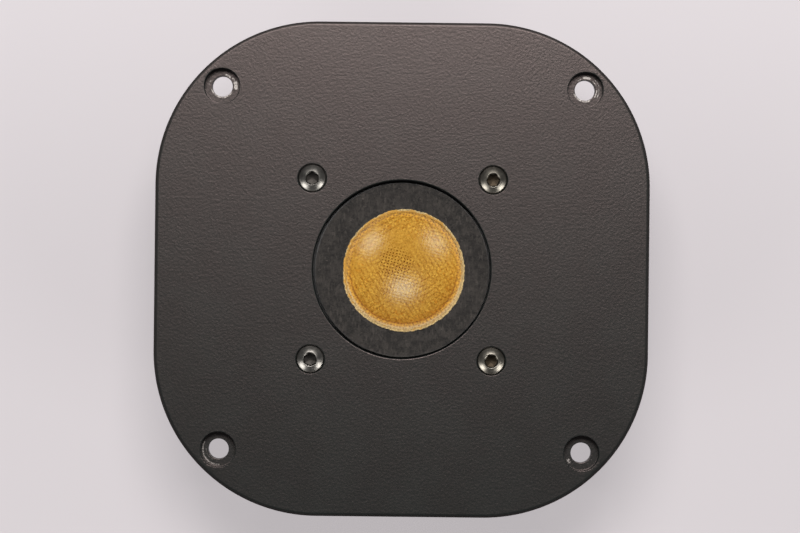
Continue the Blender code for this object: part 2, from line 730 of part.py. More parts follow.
# ---------------------------------------------------------------- terminals and leads
def build_terminal_board(parts, cutters):
    """Insulating board with two pockets for the eyelets and a hole for its screw."""
    board = rounded_slab(
        "terminal_board",
        BOARD_WIDTH,
        BOARD_LENGTH,
        BOARD_Z,
        BOARD_TOP,
        BOARD_CORNER_RADIUS,
        4,
        parts,
    )
    board.location.y = BOARD_Y - BOARD_LENGTH / 2
    low = BOARD_Z - THROUGH
    high = BOARD_TOP + GLUE_LINE / 2
    pocket = BOARD_TOP - EYELET_POCKET_DEPTH
    shank = EYELET_RADIUS + EYELET_GAP
    flange = EYELET_FLANGE_RADIUS + EYELET_GAP
    section = [(0, low), (shank, low), (shank, pocket), (flange, pocket), (flange, high), (0, high)]
    for side, x in LEAD_X.items():
        seat = turned(f"eyelet_seat_cutter_{side}", section, cutters, HIDDEN_STEPS)
        cut(board, place(seat, x, EYELET_Y))
    radius = BOARD_SCREW_SHANK_RADIUS + 2 * THREAD_GAP
    hole = turned(
        "board_hole_cutter",
        [(0, low), (radius, low), (radius, high), (0, high)],
        cutters,
        HIDDEN_STEPS,
    )
    cut(board, place(hole, 0, BOARD_SCREW_Y))
    dress(board, "brown_board")


def build_terminal(side, parts, cutters):
    """L-shaped tab under the board: a foot held by the eyelet and a blade that points to the rear."""
    x = LEAD_X[side]
    half = TAB_WIDTHS[side] / 2
    top = BOARD_Z - SEAT_GAP
    bottom = top - TAB_THICKNESS
    tip = top - TAB_BLADE_LENGTH
    inner = BOARD_Y - TAB_MARGIN
    outer = inner - TAB_FOOT_LENGTH
    outline = [
        (inner, top),
        (outer, top),
        (outer, tip),
        (outer + TAB_THICKNESS, tip),
        (outer + TAB_THICKNESS, bottom),
        (inner, bottom),
    ]
    shape = bmesh.new()
    face = shape.faces.new([shape.verts.new((x - half, y, z)) for y, z in outline])
    swept = bmesh.ops.extrude_face_region(shape, geom=[face])
    moved = [v for v in swept["geom"] if isinstance(v, bmesh.types.BMVert)]
    bmesh.ops.translate(shape, vec=(2 * half, 0, 0), verts=moved)
    tips = [
        e
        for e in shape.edges
        if all(v.co.z < tip + MERGE for v in e.verts) and e.verts[0].co.x == e.verts[1].co.x
    ]
    bmesh.ops.bevel(shape, geom=tips, offset=TAB_TIP_CHAMFER, segments=1, affect="EDGES")
    tab = add_mesh(f"terminal_tab_{side}", shape, parts)
    radius = EYELET_RADIUS + EYELET_GAP
    hole = turned(
        f"tab_eyelet_cutter_{side}",
        [
            (0, bottom - THROUGH),
            (radius, bottom - THROUGH),
            (radius, top + THROUGH),
            (0, top + THROUGH),
        ],
        cutters,
        HIDDEN_STEPS,
    )
    cut(tab, place(hole, x, EYELET_Y))
    shape = bmesh.new()
    bmesh.ops.create_cone(
        shape,
        cap_ends=True,
        segments=HIDDEN_STEPS,
        radius1=TAB_HOLE_RADIUS,
        radius2=TAB_HOLE_RADIUS,
        depth=TAB_THICKNESS + 2 * THROUGH,
        matrix=Matrix.Translation((x, outer + TAB_THICKNESS / 2, tip + TAB_HOLE_SETBACK))
        @ Matrix.Rotation(math.pi / 2, 4, "X"),
    )
    cut(tab, add_mesh(f"tab_detent_cutter_{side}", shape, cutters))
    dress(tab, "tinned_brass")


def build_eyelet(side, parts):
    """Hollow rivet: its front flange in the board's pocket, its rear flange under the tab's foot."""
    front = BOARD_TOP - EYELET_POCKET_DEPTH + SEAT_GAP
    rear = BOARD_Z - 2 * SEAT_GAP - TAB_THICKNESS
    section = [
        (EYELET_BORE_RADIUS, rear - EYELET_FLANGE_THICKNESS),
        (EYELET_FLANGE_RADIUS, rear - EYELET_FLANGE_THICKNESS),
        (EYELET_FLANGE_RADIUS, rear),
        (EYELET_RADIUS, rear),
        (EYELET_RADIUS, front),
        (EYELET_FLANGE_RADIUS, front),
        (EYELET_FLANGE_RADIUS, front + EYELET_FLANGE_THICKNESS),
        (EYELET_BORE_RADIUS, front + EYELET_FLANGE_THICKNESS),
    ]
    eyelet = turned(f"terminal_eyelet_{side}", section, parts, HIDDEN_STEPS)
    place(eyelet, LEAD_X[side], EYELET_Y)
    dress(eyelet, "tinned_brass")


def build_lead(side, parts):
    """Flexible lead: up from the coil, out over the top plate through the channels, down to its tab."""
    x = LEAD_X[side]

    def outward(radius):
        return -math.sqrt(radius**2 - x**2)

    start = FORMER_OUTER + SEAT_GAP + LEAD_RADIUS
    foot = BOARD_Y - TAB_MARGIN + SEAT_GAP + LEAD_RADIUS
    foot_z = BOARD_Z - SEAT_GAP - TAB_THICKNESS / 2
    fall = -(MOTOR_RADIUS + BOARD_SETBACK / 2)
    route = [
        (outward(start), WINDING_TOP + LEAD_RISE),
        (outward(start), TOP_PLATE_FRONT - LEAD_LIFT),
        (outward(start + LEAD_LIFT), LEAD_Z - LEAD_LIFT / 4),
        (outward(GAP_RADIUS + 2 * LEAD_LIFT), LEAD_Z),
        (-ROLL_OUTER, LEAD_Z),
        (-RING_OUTER, LEAD_Z),
        (-(RING_OUTER + MOTOR_RADIUS) / 2, LEAD_Z),
        (fall + LEAD_LIFT * 4, LEAD_Z),
        (fall, LEAD_Z - LEAD_LIFT * 2),
        (fall, (LEAD_Z + foot_z) / 2),
        (fall - LEAD_LIFT, foot_z + LEAD_LIFT),
        (foot, foot_z),
    ]
    points = smooth_route([Vector((x, y, z)) for y, z in route], 2)
    dress(wire(f"coil_lead_{side}", points, LEAD_RADIUS, parts), "copper_wire")


def main():
    clear_scene()
    parts = new_collection("car_tweeter")
    cutters = new_collection("cutters")
    build_faceplate(parts, cutters)
    build_felt_ring(parts, cutters)
    build_suspension_ring(parts, cutters)
    build_surround(parts)
    build_dome(parts)
    build_former(parts)
    build_winding(parts)
    build_top_plate(parts, cutters)
    build_magnet(parts)
    build_back_plate(parts)
    build_pole_piece(parts)
    build_damping_felt(parts)
    build_face_screws(parts, cutters)
    build_terminal_board(parts, cutters)
    build_board_screw(parts, cutters)
    for side in LEAD_X:
        build_terminal(side, parts, cutters)
        build_eyelet(side, parts)
        build_lead(side, parts)


main()
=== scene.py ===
"""Finish for an inverted-dome car tweeter: fine surfaces and materials round its solid model.

Every piece is a surface worked out on a grid, in metres, with +Z towards the listener.
"""

import math

import bmesh
import bpy
import numpy as np
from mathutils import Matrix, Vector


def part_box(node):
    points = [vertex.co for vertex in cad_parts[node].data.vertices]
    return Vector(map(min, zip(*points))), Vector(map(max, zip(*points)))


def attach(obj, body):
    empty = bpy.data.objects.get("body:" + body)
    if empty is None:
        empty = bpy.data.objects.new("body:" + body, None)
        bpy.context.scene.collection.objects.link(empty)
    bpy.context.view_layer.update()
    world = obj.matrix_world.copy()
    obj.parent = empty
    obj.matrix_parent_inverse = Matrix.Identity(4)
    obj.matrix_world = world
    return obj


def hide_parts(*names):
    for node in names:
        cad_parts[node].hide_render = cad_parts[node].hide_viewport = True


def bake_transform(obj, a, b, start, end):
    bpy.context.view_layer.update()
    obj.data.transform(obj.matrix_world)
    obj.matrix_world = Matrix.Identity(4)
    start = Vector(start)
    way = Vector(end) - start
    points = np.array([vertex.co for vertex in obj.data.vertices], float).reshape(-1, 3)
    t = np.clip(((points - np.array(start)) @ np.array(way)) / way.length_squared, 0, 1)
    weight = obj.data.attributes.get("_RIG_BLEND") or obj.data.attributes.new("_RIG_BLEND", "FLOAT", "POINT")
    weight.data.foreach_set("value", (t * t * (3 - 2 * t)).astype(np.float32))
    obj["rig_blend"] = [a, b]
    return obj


bl_info = {
    "name": "Car Tweeter",
    "version": (1, 0, 0),
    "blender": (4, 5, 0),
    "location": "View3D > Sidebar > Tweeter",
    "description": "Builds the finished surfaces of an inverted-dome car tweeter",
    "category": "Object",
}

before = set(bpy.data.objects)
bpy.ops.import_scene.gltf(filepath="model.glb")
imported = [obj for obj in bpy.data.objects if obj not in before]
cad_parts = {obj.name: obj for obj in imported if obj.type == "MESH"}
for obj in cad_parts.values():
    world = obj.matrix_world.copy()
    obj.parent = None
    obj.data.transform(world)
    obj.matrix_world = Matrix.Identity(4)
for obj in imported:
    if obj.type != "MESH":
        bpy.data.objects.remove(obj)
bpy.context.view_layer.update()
MM = 0.001
MERGE = 1e-7
TAU = 2 * math.pi
ARC_STEPS = 5


# ---------------------------------------------------------------- surfaces
def around(steps):
    """Angles spread evenly round one turn."""
    return np.linspace(0, TAU, steps, endpoint=False)


def unit_rows(rows):
    """The rows as unit vectors."""
    return rows / np.maximum(np.linalg.norm(rows, axis=-1, keepdims=True), 1e-12)


def filleted(corners, steps=ARC_STEPS):
    """A line through (r, z, radius) corners, each made an arc that is tangent to both its sides.

    The arc's centre lies on the corner's bisector at radius / sin(half angle), and the arc runs
    between the two points at radius / tan(half angle) from the corner.
    """
    data = np.array(corners, float)
    point, radius = data[:, :2], data[:, 2:]
    before = unit_rows(np.roll(point, 1, axis=0) - point)
    after = unit_rows(np.roll(point, -1, axis=0) - point)
    half = np.arccos(np.clip((before * after).sum(1, keepdims=True), -1, 1)) / 2
    half = np.clip(half, 0.01, math.pi / 2 - 0.001)
    centre = point + unit_rows(before + after) * radius / np.sin(half)
    start = point + before * radius / np.tan(half) - centre
    end = point + after * radius / np.tan(half) - centre
    turn = math.pi - 2 * half[:, None]
    share = np.linspace(0, 1, steps)[None, :, None]
    swing = np.sin((1 - share) * turn) * start[:, None] + np.sin(share * turn) * end[:, None]
    return (centre[:, None] + swing / np.sin(turn)).reshape(-1, 2)


def spun(r, z, angle, centre=(0, 0)):
    """Grid of (x + r cos a, y + r sin a, z) round a centre, for radii that may change with the angle."""
    return np.stack([centre[0] + r * np.cos(angle), centre[1] + r * np.sin(angle), z + 0 * angle], -1)


def turned(section, steps, centre=(0, 0)):
    """Grid of a surface of revolution, from the (r, z) points of its section."""
    return spun(*np.hsplit(np.asarray(section), 2), around(steps), centre)


def carried(section, path, frame_up):
    """Grid of a section carried along a path: point + x times the side vector + y times the up vector.

    The side vector is square to the path and to frame_up.
    """
    path, section = np.asarray(path, float), np.asarray(section)
    ahead = unit_rows(np.gradient(path, axis=0))
    side = unit_rows(np.cross(ahead, frame_up))
    up = np.cross(side, ahead)
    return path[:, None] + section[None, :, :1] * side[:, None] + section[None, :, 1:] * up[:, None]


def capped(grid):
    """The grid with its first and last rows drawn in to their middles, which closes both ends."""
    first = np.broadcast_to(grid[0].mean(0), grid[0].shape)[None]
    last = np.broadcast_to(grid[-1].mean(0), grid[-1].shape)[None]
    return np.concatenate([first, grid, last])


def grid_faces(rows, columns, closed):
    """Quads of a grid whose columns join up round the piece, and whose rows do too where it is closed."""
    index = np.arange(rows * columns).reshape(rows, columns)
    lower, upper = (index, np.roll(index, -1, 0)) if closed else (index[:-1], index[1:])
    return np.stack([lower, np.roll(lower, -1, 1), np.roll(upper, -1, 1), upper], -1).reshape(-1, 4)


def mesh_from_grids(name, grids, closed):
    """One mesh from grids of points, with poles and seams merged and faces turned outwards."""
    points, faces, start = [], [], 0
    for grid in grids:
        quads = grid_faces(grid.shape[0], grid.shape[1], closed)
        flat = grid.reshape(-1, 3)
        a, b, c, d = (flat[quads[:, i]] for i in range(4))
        volume = (np.cross(a, b) * c).sum() + (np.cross(a, c) * d).sum()
        faces.append((quads if volume > 0 else quads[:, ::-1]) + start)
        points.append(flat)
        start += len(flat)
    points, faces = np.concatenate(points), np.concatenate(faces)
    mesh = bpy.data.meshes.new(name)
    mesh.vertices.add(len(points))
    mesh.vertices.foreach_set("co", points.ravel())
    mesh.loops.add(faces.size)
    mesh.loops.foreach_set("vertex_index", faces.ravel())
    mesh.polygons.add(len(faces))
    mesh.polygons.foreach_set("loop_start", np.arange(0, faces.size, 4))
    mesh.update(calc_edges=True)
    shape = bmesh.new()
    shape.from_mesh(mesh)
    bmesh.ops.remove_doubles(shape, verts=shape.verts, dist=MERGE)
    bmesh.ops.dissolve_degenerate(shape, edges=shape.edges, dist=MERGE)
    shape.to_mesh(mesh)
    shape.free()
    return mesh


def place_piece(mesh, material, body, nodes):
    """The mesh's object: its material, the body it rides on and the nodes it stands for."""
    mesh.materials.clear()
    mesh.materials.append(material)
    piece = bpy.data.objects.new(mesh.name, mesh)
    bpy.context.scene.collection.objects.link(piece)
    if body:
        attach(piece, body)
    if nodes:
        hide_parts(*nodes)
    return piece


def finish_piece(mesh, material, body, nodes, sharp=35):
    """The mesh's object, shaded smooth up to the sharp angle, in degrees."""
    mesh.shade_smooth()
    mesh.set_sharp_from_angle(angle=math.radians(sharp))
    return place_piece(mesh, material, body, nodes)


def node_piece(node, grid, material, body, closed=False, sharp=35):
    """The finished piece that stands for one node of the solid model, from its grid."""
    mesh = mesh_from_grids(f"{node}_finish", [grid], closed)
    return finish_piece(mesh, material, body, [node], sharp)


def points_of(mesh):
    """The mesh's points as rows of an array."""
    points = np.empty(len(mesh.vertices) * 3)
    mesh.vertices.foreach_get("co", points)
    return points.reshape(-1, 3)


def write_share(mesh, name, values):
    """Keeps a value for each point, for the material to read."""
    mesh.attributes.new(name, "FLOAT", "POINT").data.foreach_set("value", values.astype(np.float32))


def node_box(node):
    """Low corner, high corner and middle of a node of the solid model."""
    low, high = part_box(node)
    return low, high, (low + high) / 2


def weave_height(x, y, pitch, lay):
    """Height from 0 to 1 of a plain weave: the higher of two round threads, each over and then under.

    Across a thread the height is |cos|, and along it a cosine lifts it at every second crossing.
    """
    a = (x * math.cos(lay) + y * math.sin(lay)) / pitch
    b = (y * math.cos(lay) - x * math.sin(lay)) / pitch
    lift = 0.45
    warp = np.abs(np.cos(np.pi * a)) + lift * np.cos(np.pi * np.round(a)) * np.cos(np.pi * b)
    weft = np.abs(np.cos(np.pi * b)) - lift * np.cos(np.pi * np.round(b)) * np.cos(np.pi * a)
    return np.clip(np.maximum(warp, weft) / (1 + lift), 0, 1)


def ripple(angle, seed, orders, size, first=2):
    """Sum of cosines of random phase round a circle, for an edge that was cut by hand."""
    draw = np.random.default_rng(seed)
    order = np.arange(first, orders)[:, None]
    phase = draw.uniform(0, TAU, order.shape)
    weight = draw.normal(0, 1, order.shape) / np.sqrt(order)
    return size * (weight * np.cos(order * angle[None] + phase)).sum(0)


# ---------------------------------------------------------------- shader maths
def math_node(operation, swapped=False):
    """A method of Value that adds one Math node, with its operands swapped in the reflected forms."""

    def method(self, *others):
        operands = (*others, self) if swapped else (self, *others)
        return self.shader.add("ShaderNodeMath", {"operation": operation}, dict(enumerate(operands)))

    return method


class Value:
    """A node's output. Arithmetic on it adds the Math nodes that work it out."""

    def __init__(self, shader, socket):
        self.shader = shader
        self.socket = socket

    __add__ = __radd__ = math_node("ADD")
    __sub__ = math_node("SUBTRACT")
    __rsub__ = math_node("SUBTRACT", swapped=True)
    __mul__ = __rmul__ = math_node("MULTIPLY")
    __truediv__ = math_node("DIVIDE")
    __rtruediv__ = math_node("DIVIDE", swapped=True)
    __pow__ = math_node("POWER")
    __abs__ = math_node("ABSOLUTE")
    cosine = math_node("COSINE")
    larger = math_node("MAXIMUM")
    smaller = math_node("MINIMUM")

    def __neg__(self):
        return self * -1

    def between(self, low, high):
        """0 at low, 1 at high and smooth in between; low may be the larger."""
        inputs = {"Value": self, "From Min": low, "From Max": high}
        return self.shader.add("ShaderNodeMapRange", {"interpolation_type": "SMOOTHSTEP"}, inputs)


class Shader:
    """A material with a Principled BSDF, and what its nodes are made with."""

    def __init__(self, name, **constants):
        self.material = bpy.data.materials.new(name)
        self.material.use_nodes = True
        self.tree = self.material.node_tree
        self.bsdf = self.tree.nodes["Principled BSDF"]
        for key, value in constants.items():
            self.bsdf.inputs[key.replace("_", " ").title().replace("Ior", "IOR")].default_value = value
        self.point = self.add("ShaderNodeTexCoord", output="Object")

    def add(self, kind, settings=None, inputs=None, output=0):
        """One output of a new node: its settings first, then the values or links of its sockets."""
        node = self.tree.nodes.new(kind)
        for key, value in (settings or {}).items():
            setattr(node, key, value)
        for key, value in (inputs or {}).items():
            self.feed(node.inputs[key], value)
        return Value(self, node.outputs[output])

    def feed(self, socket, value):
        if isinstance(value, Value):
            self.tree.links.new(value.socket, socket)
        elif socket.type == "RGBA":
            socket.default_value = (*value[:3], 1)
        else:
            socket.default_value = value

    def set(self, name, value):
        self.feed(self.bsdf.inputs[name], value)

    def mix(self, share, low, high, blend="MIX"):
        """Colour between low and high by share, or low times high by share with MULTIPLY."""
        settings = {"data_type": "RGBA", "clamp_factor": True, "blend_type": blend}
        return self.add("ShaderNodeMix", settings, {0: share, 6: low, 7: high}, 2)

    def noise(self, size, detail=2.0, roughness=0.6, point=None, stretch=None):
        """Noise from 0 to 1, with features of about that size in metres."""
        place = point or self.point
        if stretch:
            place = self.add("ShaderNodeMapping", None, {"Vector": place, "Scale": stretch})
        inputs = {"Vector": place, "Scale": 1 / size, "Detail": detail, "Roughness": roughness}
        return self.add("ShaderNodeTexNoise", None, inputs)

    def axes(self):
        """The three coordinates of the point on the piece."""
        split = self.add("ShaderNodeSeparateXYZ", None, {0: self.point}).socket.node
        return [Value(self, socket) for socket in split.outputs]

    def bump(self, height, depth, strength=1.0):
        """Normal for a height from 0 to 1 that stands for depth in metres."""
        inputs = {"Height": height, "Distance": depth, "Strength": strength}
        self.set("Normal", self.add("ShaderNodeBump", None, inputs))

    def attribute(self, name):
        return self.add("ShaderNodeAttribute", {"attribute_name": name}, None, "Fac")


def span(x, y):
    """Distance from the axis: sqrt(x^2 + y^2)."""
    return (x * x + y * y) ** 0.5


def toned(colour, *shares):
    """The colour times one share, or times a share each for red, green and blue, and never over 1."""
    return [min(1, c * share) for c, share in zip(colour, shares * 3)]


# ---------------------------------------------------------------- settings
def number(name, description, default, **more):
    return bpy.props.FloatProperty(name=name, description=description, default=default, **more)


def length(name, description, default):
    return number(name, description, default, min=0, precision=5, unit="LENGTH")


def turn(name, description, degrees):
    return number(name, description, math.radians(degrees), subtype="ANGLE")


def tint(name, description, default):
    return bpy.props.FloatVectorProperty(
        name=name, description=description, default=default, min=0, max=1, size=3, subtype="COLOR"
    )


PLATE_LOW, PLATE_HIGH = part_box("faceplate")
FELT_LOW, FELT_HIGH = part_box("felt_ring")
DOME_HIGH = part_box("dome")[1]
ROLL_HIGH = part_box("surround")[1]
FACE_SCREWS = [f"face_screw_{i}" for i in (1, 2, 3, 4)]
SIDES = ("positive", "negative")


class TweeterPlateSettings(bpy.types.PropertyGroup):
    width: length("Width", "Width across the flats of the flange", PLATE_HIGH.x - PLATE_LOW.x)
    corner: length("Corner radius", "Radius of the flange's corners", 34.5 * MM)
    edge: length("Edge round", "Rounding of the front edge", 0.85 * MM)
    # The band at the outer edge is rougher and painted dark, as shade.
    dull_shaded_edge: length("Dull edge", "Width of the dull band at the outer edge", 0.42 * MM)
    opening: length("Opening radius", "Radius of the opening for the felt", 18.72 * MM)
    opening_lip: length("Opening lip", "Rounding at the mouth of the opening", 0.3 * MM)
    mount_circle: length("Mounting circle", "Radius of the circle of mounting holes", 54 * MM)
    mount_hole: length("Mounting hole", "Radius of the mounting holes", 2.15 * MM)
    mount_seat: length("Mounting seat", "Radius of the mounting holes' counterbores", 3.7 * MM)
    mount_depth: length("Mounting depth", "Depth of the mounting holes' counterbores", 2.0 * MM)
    screw_hole: length("Screw hole", "Radius of the screws' clearance holes", 1.7 * MM)
    screw_seat: length("Screw seat", "Radius of the screws' counterbores", 2.97 * MM)
    screw_depth: length("Screw depth", "Depth of the screws' counterbores", 1.2 * MM)
    lip: length("Lip", "Rounding of the coat at the mouth of each counterbore", 0.22 * MM)
    coat: tint("Coat", "Colour of the powder coat", (0.0071, 0.0109, 0.0104))
    bare: tint("Bare metal", "Colour of the metal where the coat is worn off", (0.3, 0.28, 0.265))


class TweeterFeltSettings(bpy.types.PropertyGroup):
    hole: length("Hole radius", "Radius of the felt ring's hole", 12.88 * MM)
    shift_x: length("Hole shift X", "How far the hole lies off centre, towards +X", 0.47 * MM)
    shift_y: length("Hole shift Y", "How far the hole lies off centre, towards -Y", 0.2 * MM)
    play: length("Play", "How far the felt sits off centre in the opening", 0.16 * MM)
    raggedness: length("Raggedness", "How far the cut edge wanders", 0.042 * MM)
    wool: tint("Wool", "Colour of the felt", (0.0125, 0.0108, 0.0095))


class TweeterDomeSettings(bpy.types.PropertyGroup):
    rim: length("Rim radius", "Radius of the dome's rim", 11.5 * MM)
    ball: length("Ball radius", "Radius of the dome's concave face", 15.6 * MM)
    skin: length("Thickness", "Thickness of the dome", 0.25 * MM)
    pitch: length("Thread pitch", "Distance between threads of the cloth", 0.645 * MM)
    relief: length("Thread relief", "Height of the threads over the gaps between them", 0.024 * MM)
    play: length("Play", "How far the dome sits off centre, towards +X", 0.4 * MM)
    roll_end: length("Roll end", "Radius at which the roll meets its flange", 13.47 * MM)
    lay: turn("Cloth angle", "How far the cloth is turned round the axis", -13.6)
    cloth: tint("Cloth", "Colour of the coated cloth", (0.388, 0.192, 0.013))
    gap: tint("Gap", "Colour in the gaps between threads", (0.085, 0.024, 0.001))
    roll: tint("Roll", "Colour of the surround's bare cloth", (0.38, 0.28, 0.125))


class TweeterScrewSettings(bpy.types.PropertyGroup):
    head: length("Head radius", "Radius of the button head", 2.85 * MM)
    height: length("Head height", "Height of the button head up to its socket", 1.65 * MM)
    ball: length("Head ball", "Radius of the head's domed top", 4.0 * MM)
    socket: length("Socket", "Width of the hexagon socket across its flats", 2.4 * MM)
    depth: length("Socket depth", "Depth of the hexagon socket", 1.1 * MM)
    shank: length("Shank radius", "Radius of the shank", 1.5 * MM)
    metal: tint("Metal", "Colour of the screws", (0.17, 0.162, 0.15))


class TweeterMotorSettings(bpy.types.PropertyGroup):
    steel: tint("Plated steel", "Colour of the zinc-plated plates", (0.55, 0.56, 0.58))
    ferrite: tint("Ferrite", "Colour of the magnet", (0.045, 0.045, 0.05))
    board: tint("Board", "Colour of the terminal board", (0.19, 0.09, 0.04))
    tin: tint("Tin", "Colour of the terminals", (0.7, 0.68, 0.62))
    copper: tint("Copper", "Colour of the leads and the winding", (0.72, 0.31, 0.17))
    film: tint("Film", "Colour of the voice coil's former", (0.45, 0.22, 0.05))
    moulding: tint("Moulding", "Colour of the suspension ring", (0.022, 0.022, 0.022))


class TweeterStageSettings(bpy.types.PropertyGroup):
    camera_height: length("Camera height", "Height of the camera over the faceplate", 560 * MM)
    lens: number("Lens", "Focal length in millimetres", 120.0, min=1)
    roll: turn("Camera roll", "Turn of the camera round its own axis", 0.65)
    aim_x: number("Aim X", "Where the camera looks, across", -0.36 * MM, precision=5, unit="LENGTH")
    aim_y: number("Aim Y", "Where the camera looks, along", 0.65 * MM, precision=5, unit="LENGTH")
    floor: tint("Floor", "Colour of the floor", (0.53, 0.499, 0.517))
    floor_glow: number("Floor glow", "Share of the floor that no shadow dims", 0.62, min=0, max=1)
    # Painted light: the floor is made paler towards +Y, the side of the top lamp.
    floor_painted_light: number("Floor lift", "How much paler the floor's far side is", 1.17, min=1, max=2)
    sky: number("Sky", "Strength of the light from all round", 0.16, min=0, max=1)


SETTINGS = {
    "tweeter_plate": TweeterPlateSettings,
    "tweeter_felt": TweeterFeltSettings,
    "tweeter_dome": TweeterDomeSettings,
    "tweeter_screw": TweeterScrewSettings,
    "tweeter_motor": TweeterMotorSettings,
    "tweeter_stage": TweeterStageSettings,
}


# ---------------------------------------------------------------- materials
def powder_coat(coat, bare):
    """Black powder coat: orange peel, a fine grain, faint clouds, and bare metal in chips and on the
    mounting seats.

    The front edge is chipped along a short stretch at -X and -Y. A band along the outer edge is
    rougher and painted dark, as shade.
    """
    shader = Shader("powder_coat", specular_tint=(1.0, 0.78, 0.75, 1.0))
    peel = shader.noise(0.55 * MM, 2.0, 0.45)
    grain = shader.noise(0.16 * MM)
    cloud = shader.noise(9 * MM, 3.0, 0.6)
    rough_edge = shader.noise(0.3 * MM, 3.0, 0.7)
    seat_arcs = (shader.attribute("seat_arcs") + (rough_edge - 0.5) * 1.5).between(0.42, 0.92)
    x, y, z = shader.axes()
    chipped = (-x).between(22 * MM, 24.5 * MM) * (-x).between(33.5 * MM, 31 * MM)
    chipped = chipped * (-y).between(49.9 * MM, 51.2 * MM)
    flakes = shader.noise(0.95 * MM, 3.0, 0.7)
    worn = seat_arcs.larger((flakes * chipped).between(0.54, 0.6))
    body = shader.mix(cloud.between(0.35, 0.7), toned(coat, 0.9), toned(coat, 1.12))
    speck = shader.noise(0.42 * MM, 1.0, 0.5).between(0.62, 0.76)
    body = shader.mix(speck * 0.4, body, toned(coat, 2.3))
    # Painted shade: the band along the outer edge is darkened to a third of the coat.
    edge = shader.attribute("edge")
    body = shader.mix(edge, body, toned(coat, 0.3))
    shader.set("Base Color", shader.mix(worn, body, bare))
    shader.set("Roughness", 0.355 + (grain - 0.5) * 0.3 + edge * 0.52 + worn * 0.15)
    shader.set("Metallic", worn * 0.85)
    shader.bump(peel * 0.6 + grain * 0.4 - worn * 0.3, 0.055 * MM)
    return shader.material


def felt_wool(wool):
    """Black felt: matted fibres lying every way, soft clumps, pale lint and darker pits."""
    sheen = {"sheen_weight": 0.1, "sheen_roughness": 0.6}
    shader = Shader("felt_wool", roughness=1.0, specular_ior_level=0.2, **sheen)
    fibre = shader.noise(0.3 * MM, 3.0, 0.7)
    strands = shader.noise(0.5 * MM, stretch=(1.0, 0.3, 1.0))
    clump = shader.noise(1.7 * MM, 3.0, 0.65)
    speck = shader.noise(0.75 * MM, 3.0, 0.7, stretch=(0.5, 1.0, 1.0)).between(0.62, 0.76)
    pit = shader.noise(0.62 * MM).between(0.44, 0.3)
    body = shader.mix(clump.between(0.35, 0.65), toned(wool, 0.45), toned(wool, 1.4))
    body = shader.mix(fibre.between(0.42, 0.72) * 0.35, body, toned(wool, 2.6))
    body = shader.mix(strands.between(0.5, 0.72) * 0.55, body, toned(wool, 3.0))
    body = shader.mix(pit * 0.8, body, toned(wool, 0.2))
    shader.set("Base Color", shader.mix(speck * 0.5, body, toned(wool, 5.0)))
    shader.bump(fibre * 0.5 + clump * 0.3 + strands * 0.2, 0.2 * MM)
    return shader.material


def woven_maps(shader, s):
    """Plain weave: gaps is 1 between threads and 0 on them, crossing runs from -1 under to 1 over.

    The overs and unders lie in two sets of diagonal ribs, cos(a + b) and cos(a - b). Their
    brightness is painted light and shade on the humps of the threads: at each place the ribs that
    cross the radius stand out, and near the bottom the others do. The threads wander.
    """
    x, y, z = shader.axes()
    x, lay, turns = x - s.play, s.lay, math.pi / s.pitch
    drift, even = s.pitch * 1.1, (0.8 * MM) ** 2
    a = x * math.cos(lay) + y * math.sin(lay) + (shader.noise(2.1 * MM, 3.0, 0.6) - 0.5) * drift
    b = y * math.cos(lay) - x * math.sin(lay) + (shader.noise(2.5 * MM, 3.0, 0.6) - 0.5) * drift
    a, b = a * turns, b * turns
    gaps = abs(a.cosine()).larger(abs(b.cosine())).between(0.85, 0.3)
    diagonal = lay + math.pi / 4
    toward = x * math.cos(diagonal) + y * math.sin(diagonal)
    share = (toward * toward + even) / (x * x + y * y + 2 * even)
    bottom = (-(y + abs(x) * 0.6)).between(2 * MM, 4.5 * MM)
    share = share + (1 - share * 2) * bottom
    share = (share + (shader.noise(1.4 * MM) - 0.5) * 2.6).between(0.2, 0.8)
    ribs = (a + b).cosine() * share + (a - b).cosine() * (1 - share)
    return gaps, ribs * (shader.noise(0.55 * MM).between(0.36, 0.58) * 1.55 - 0.35)


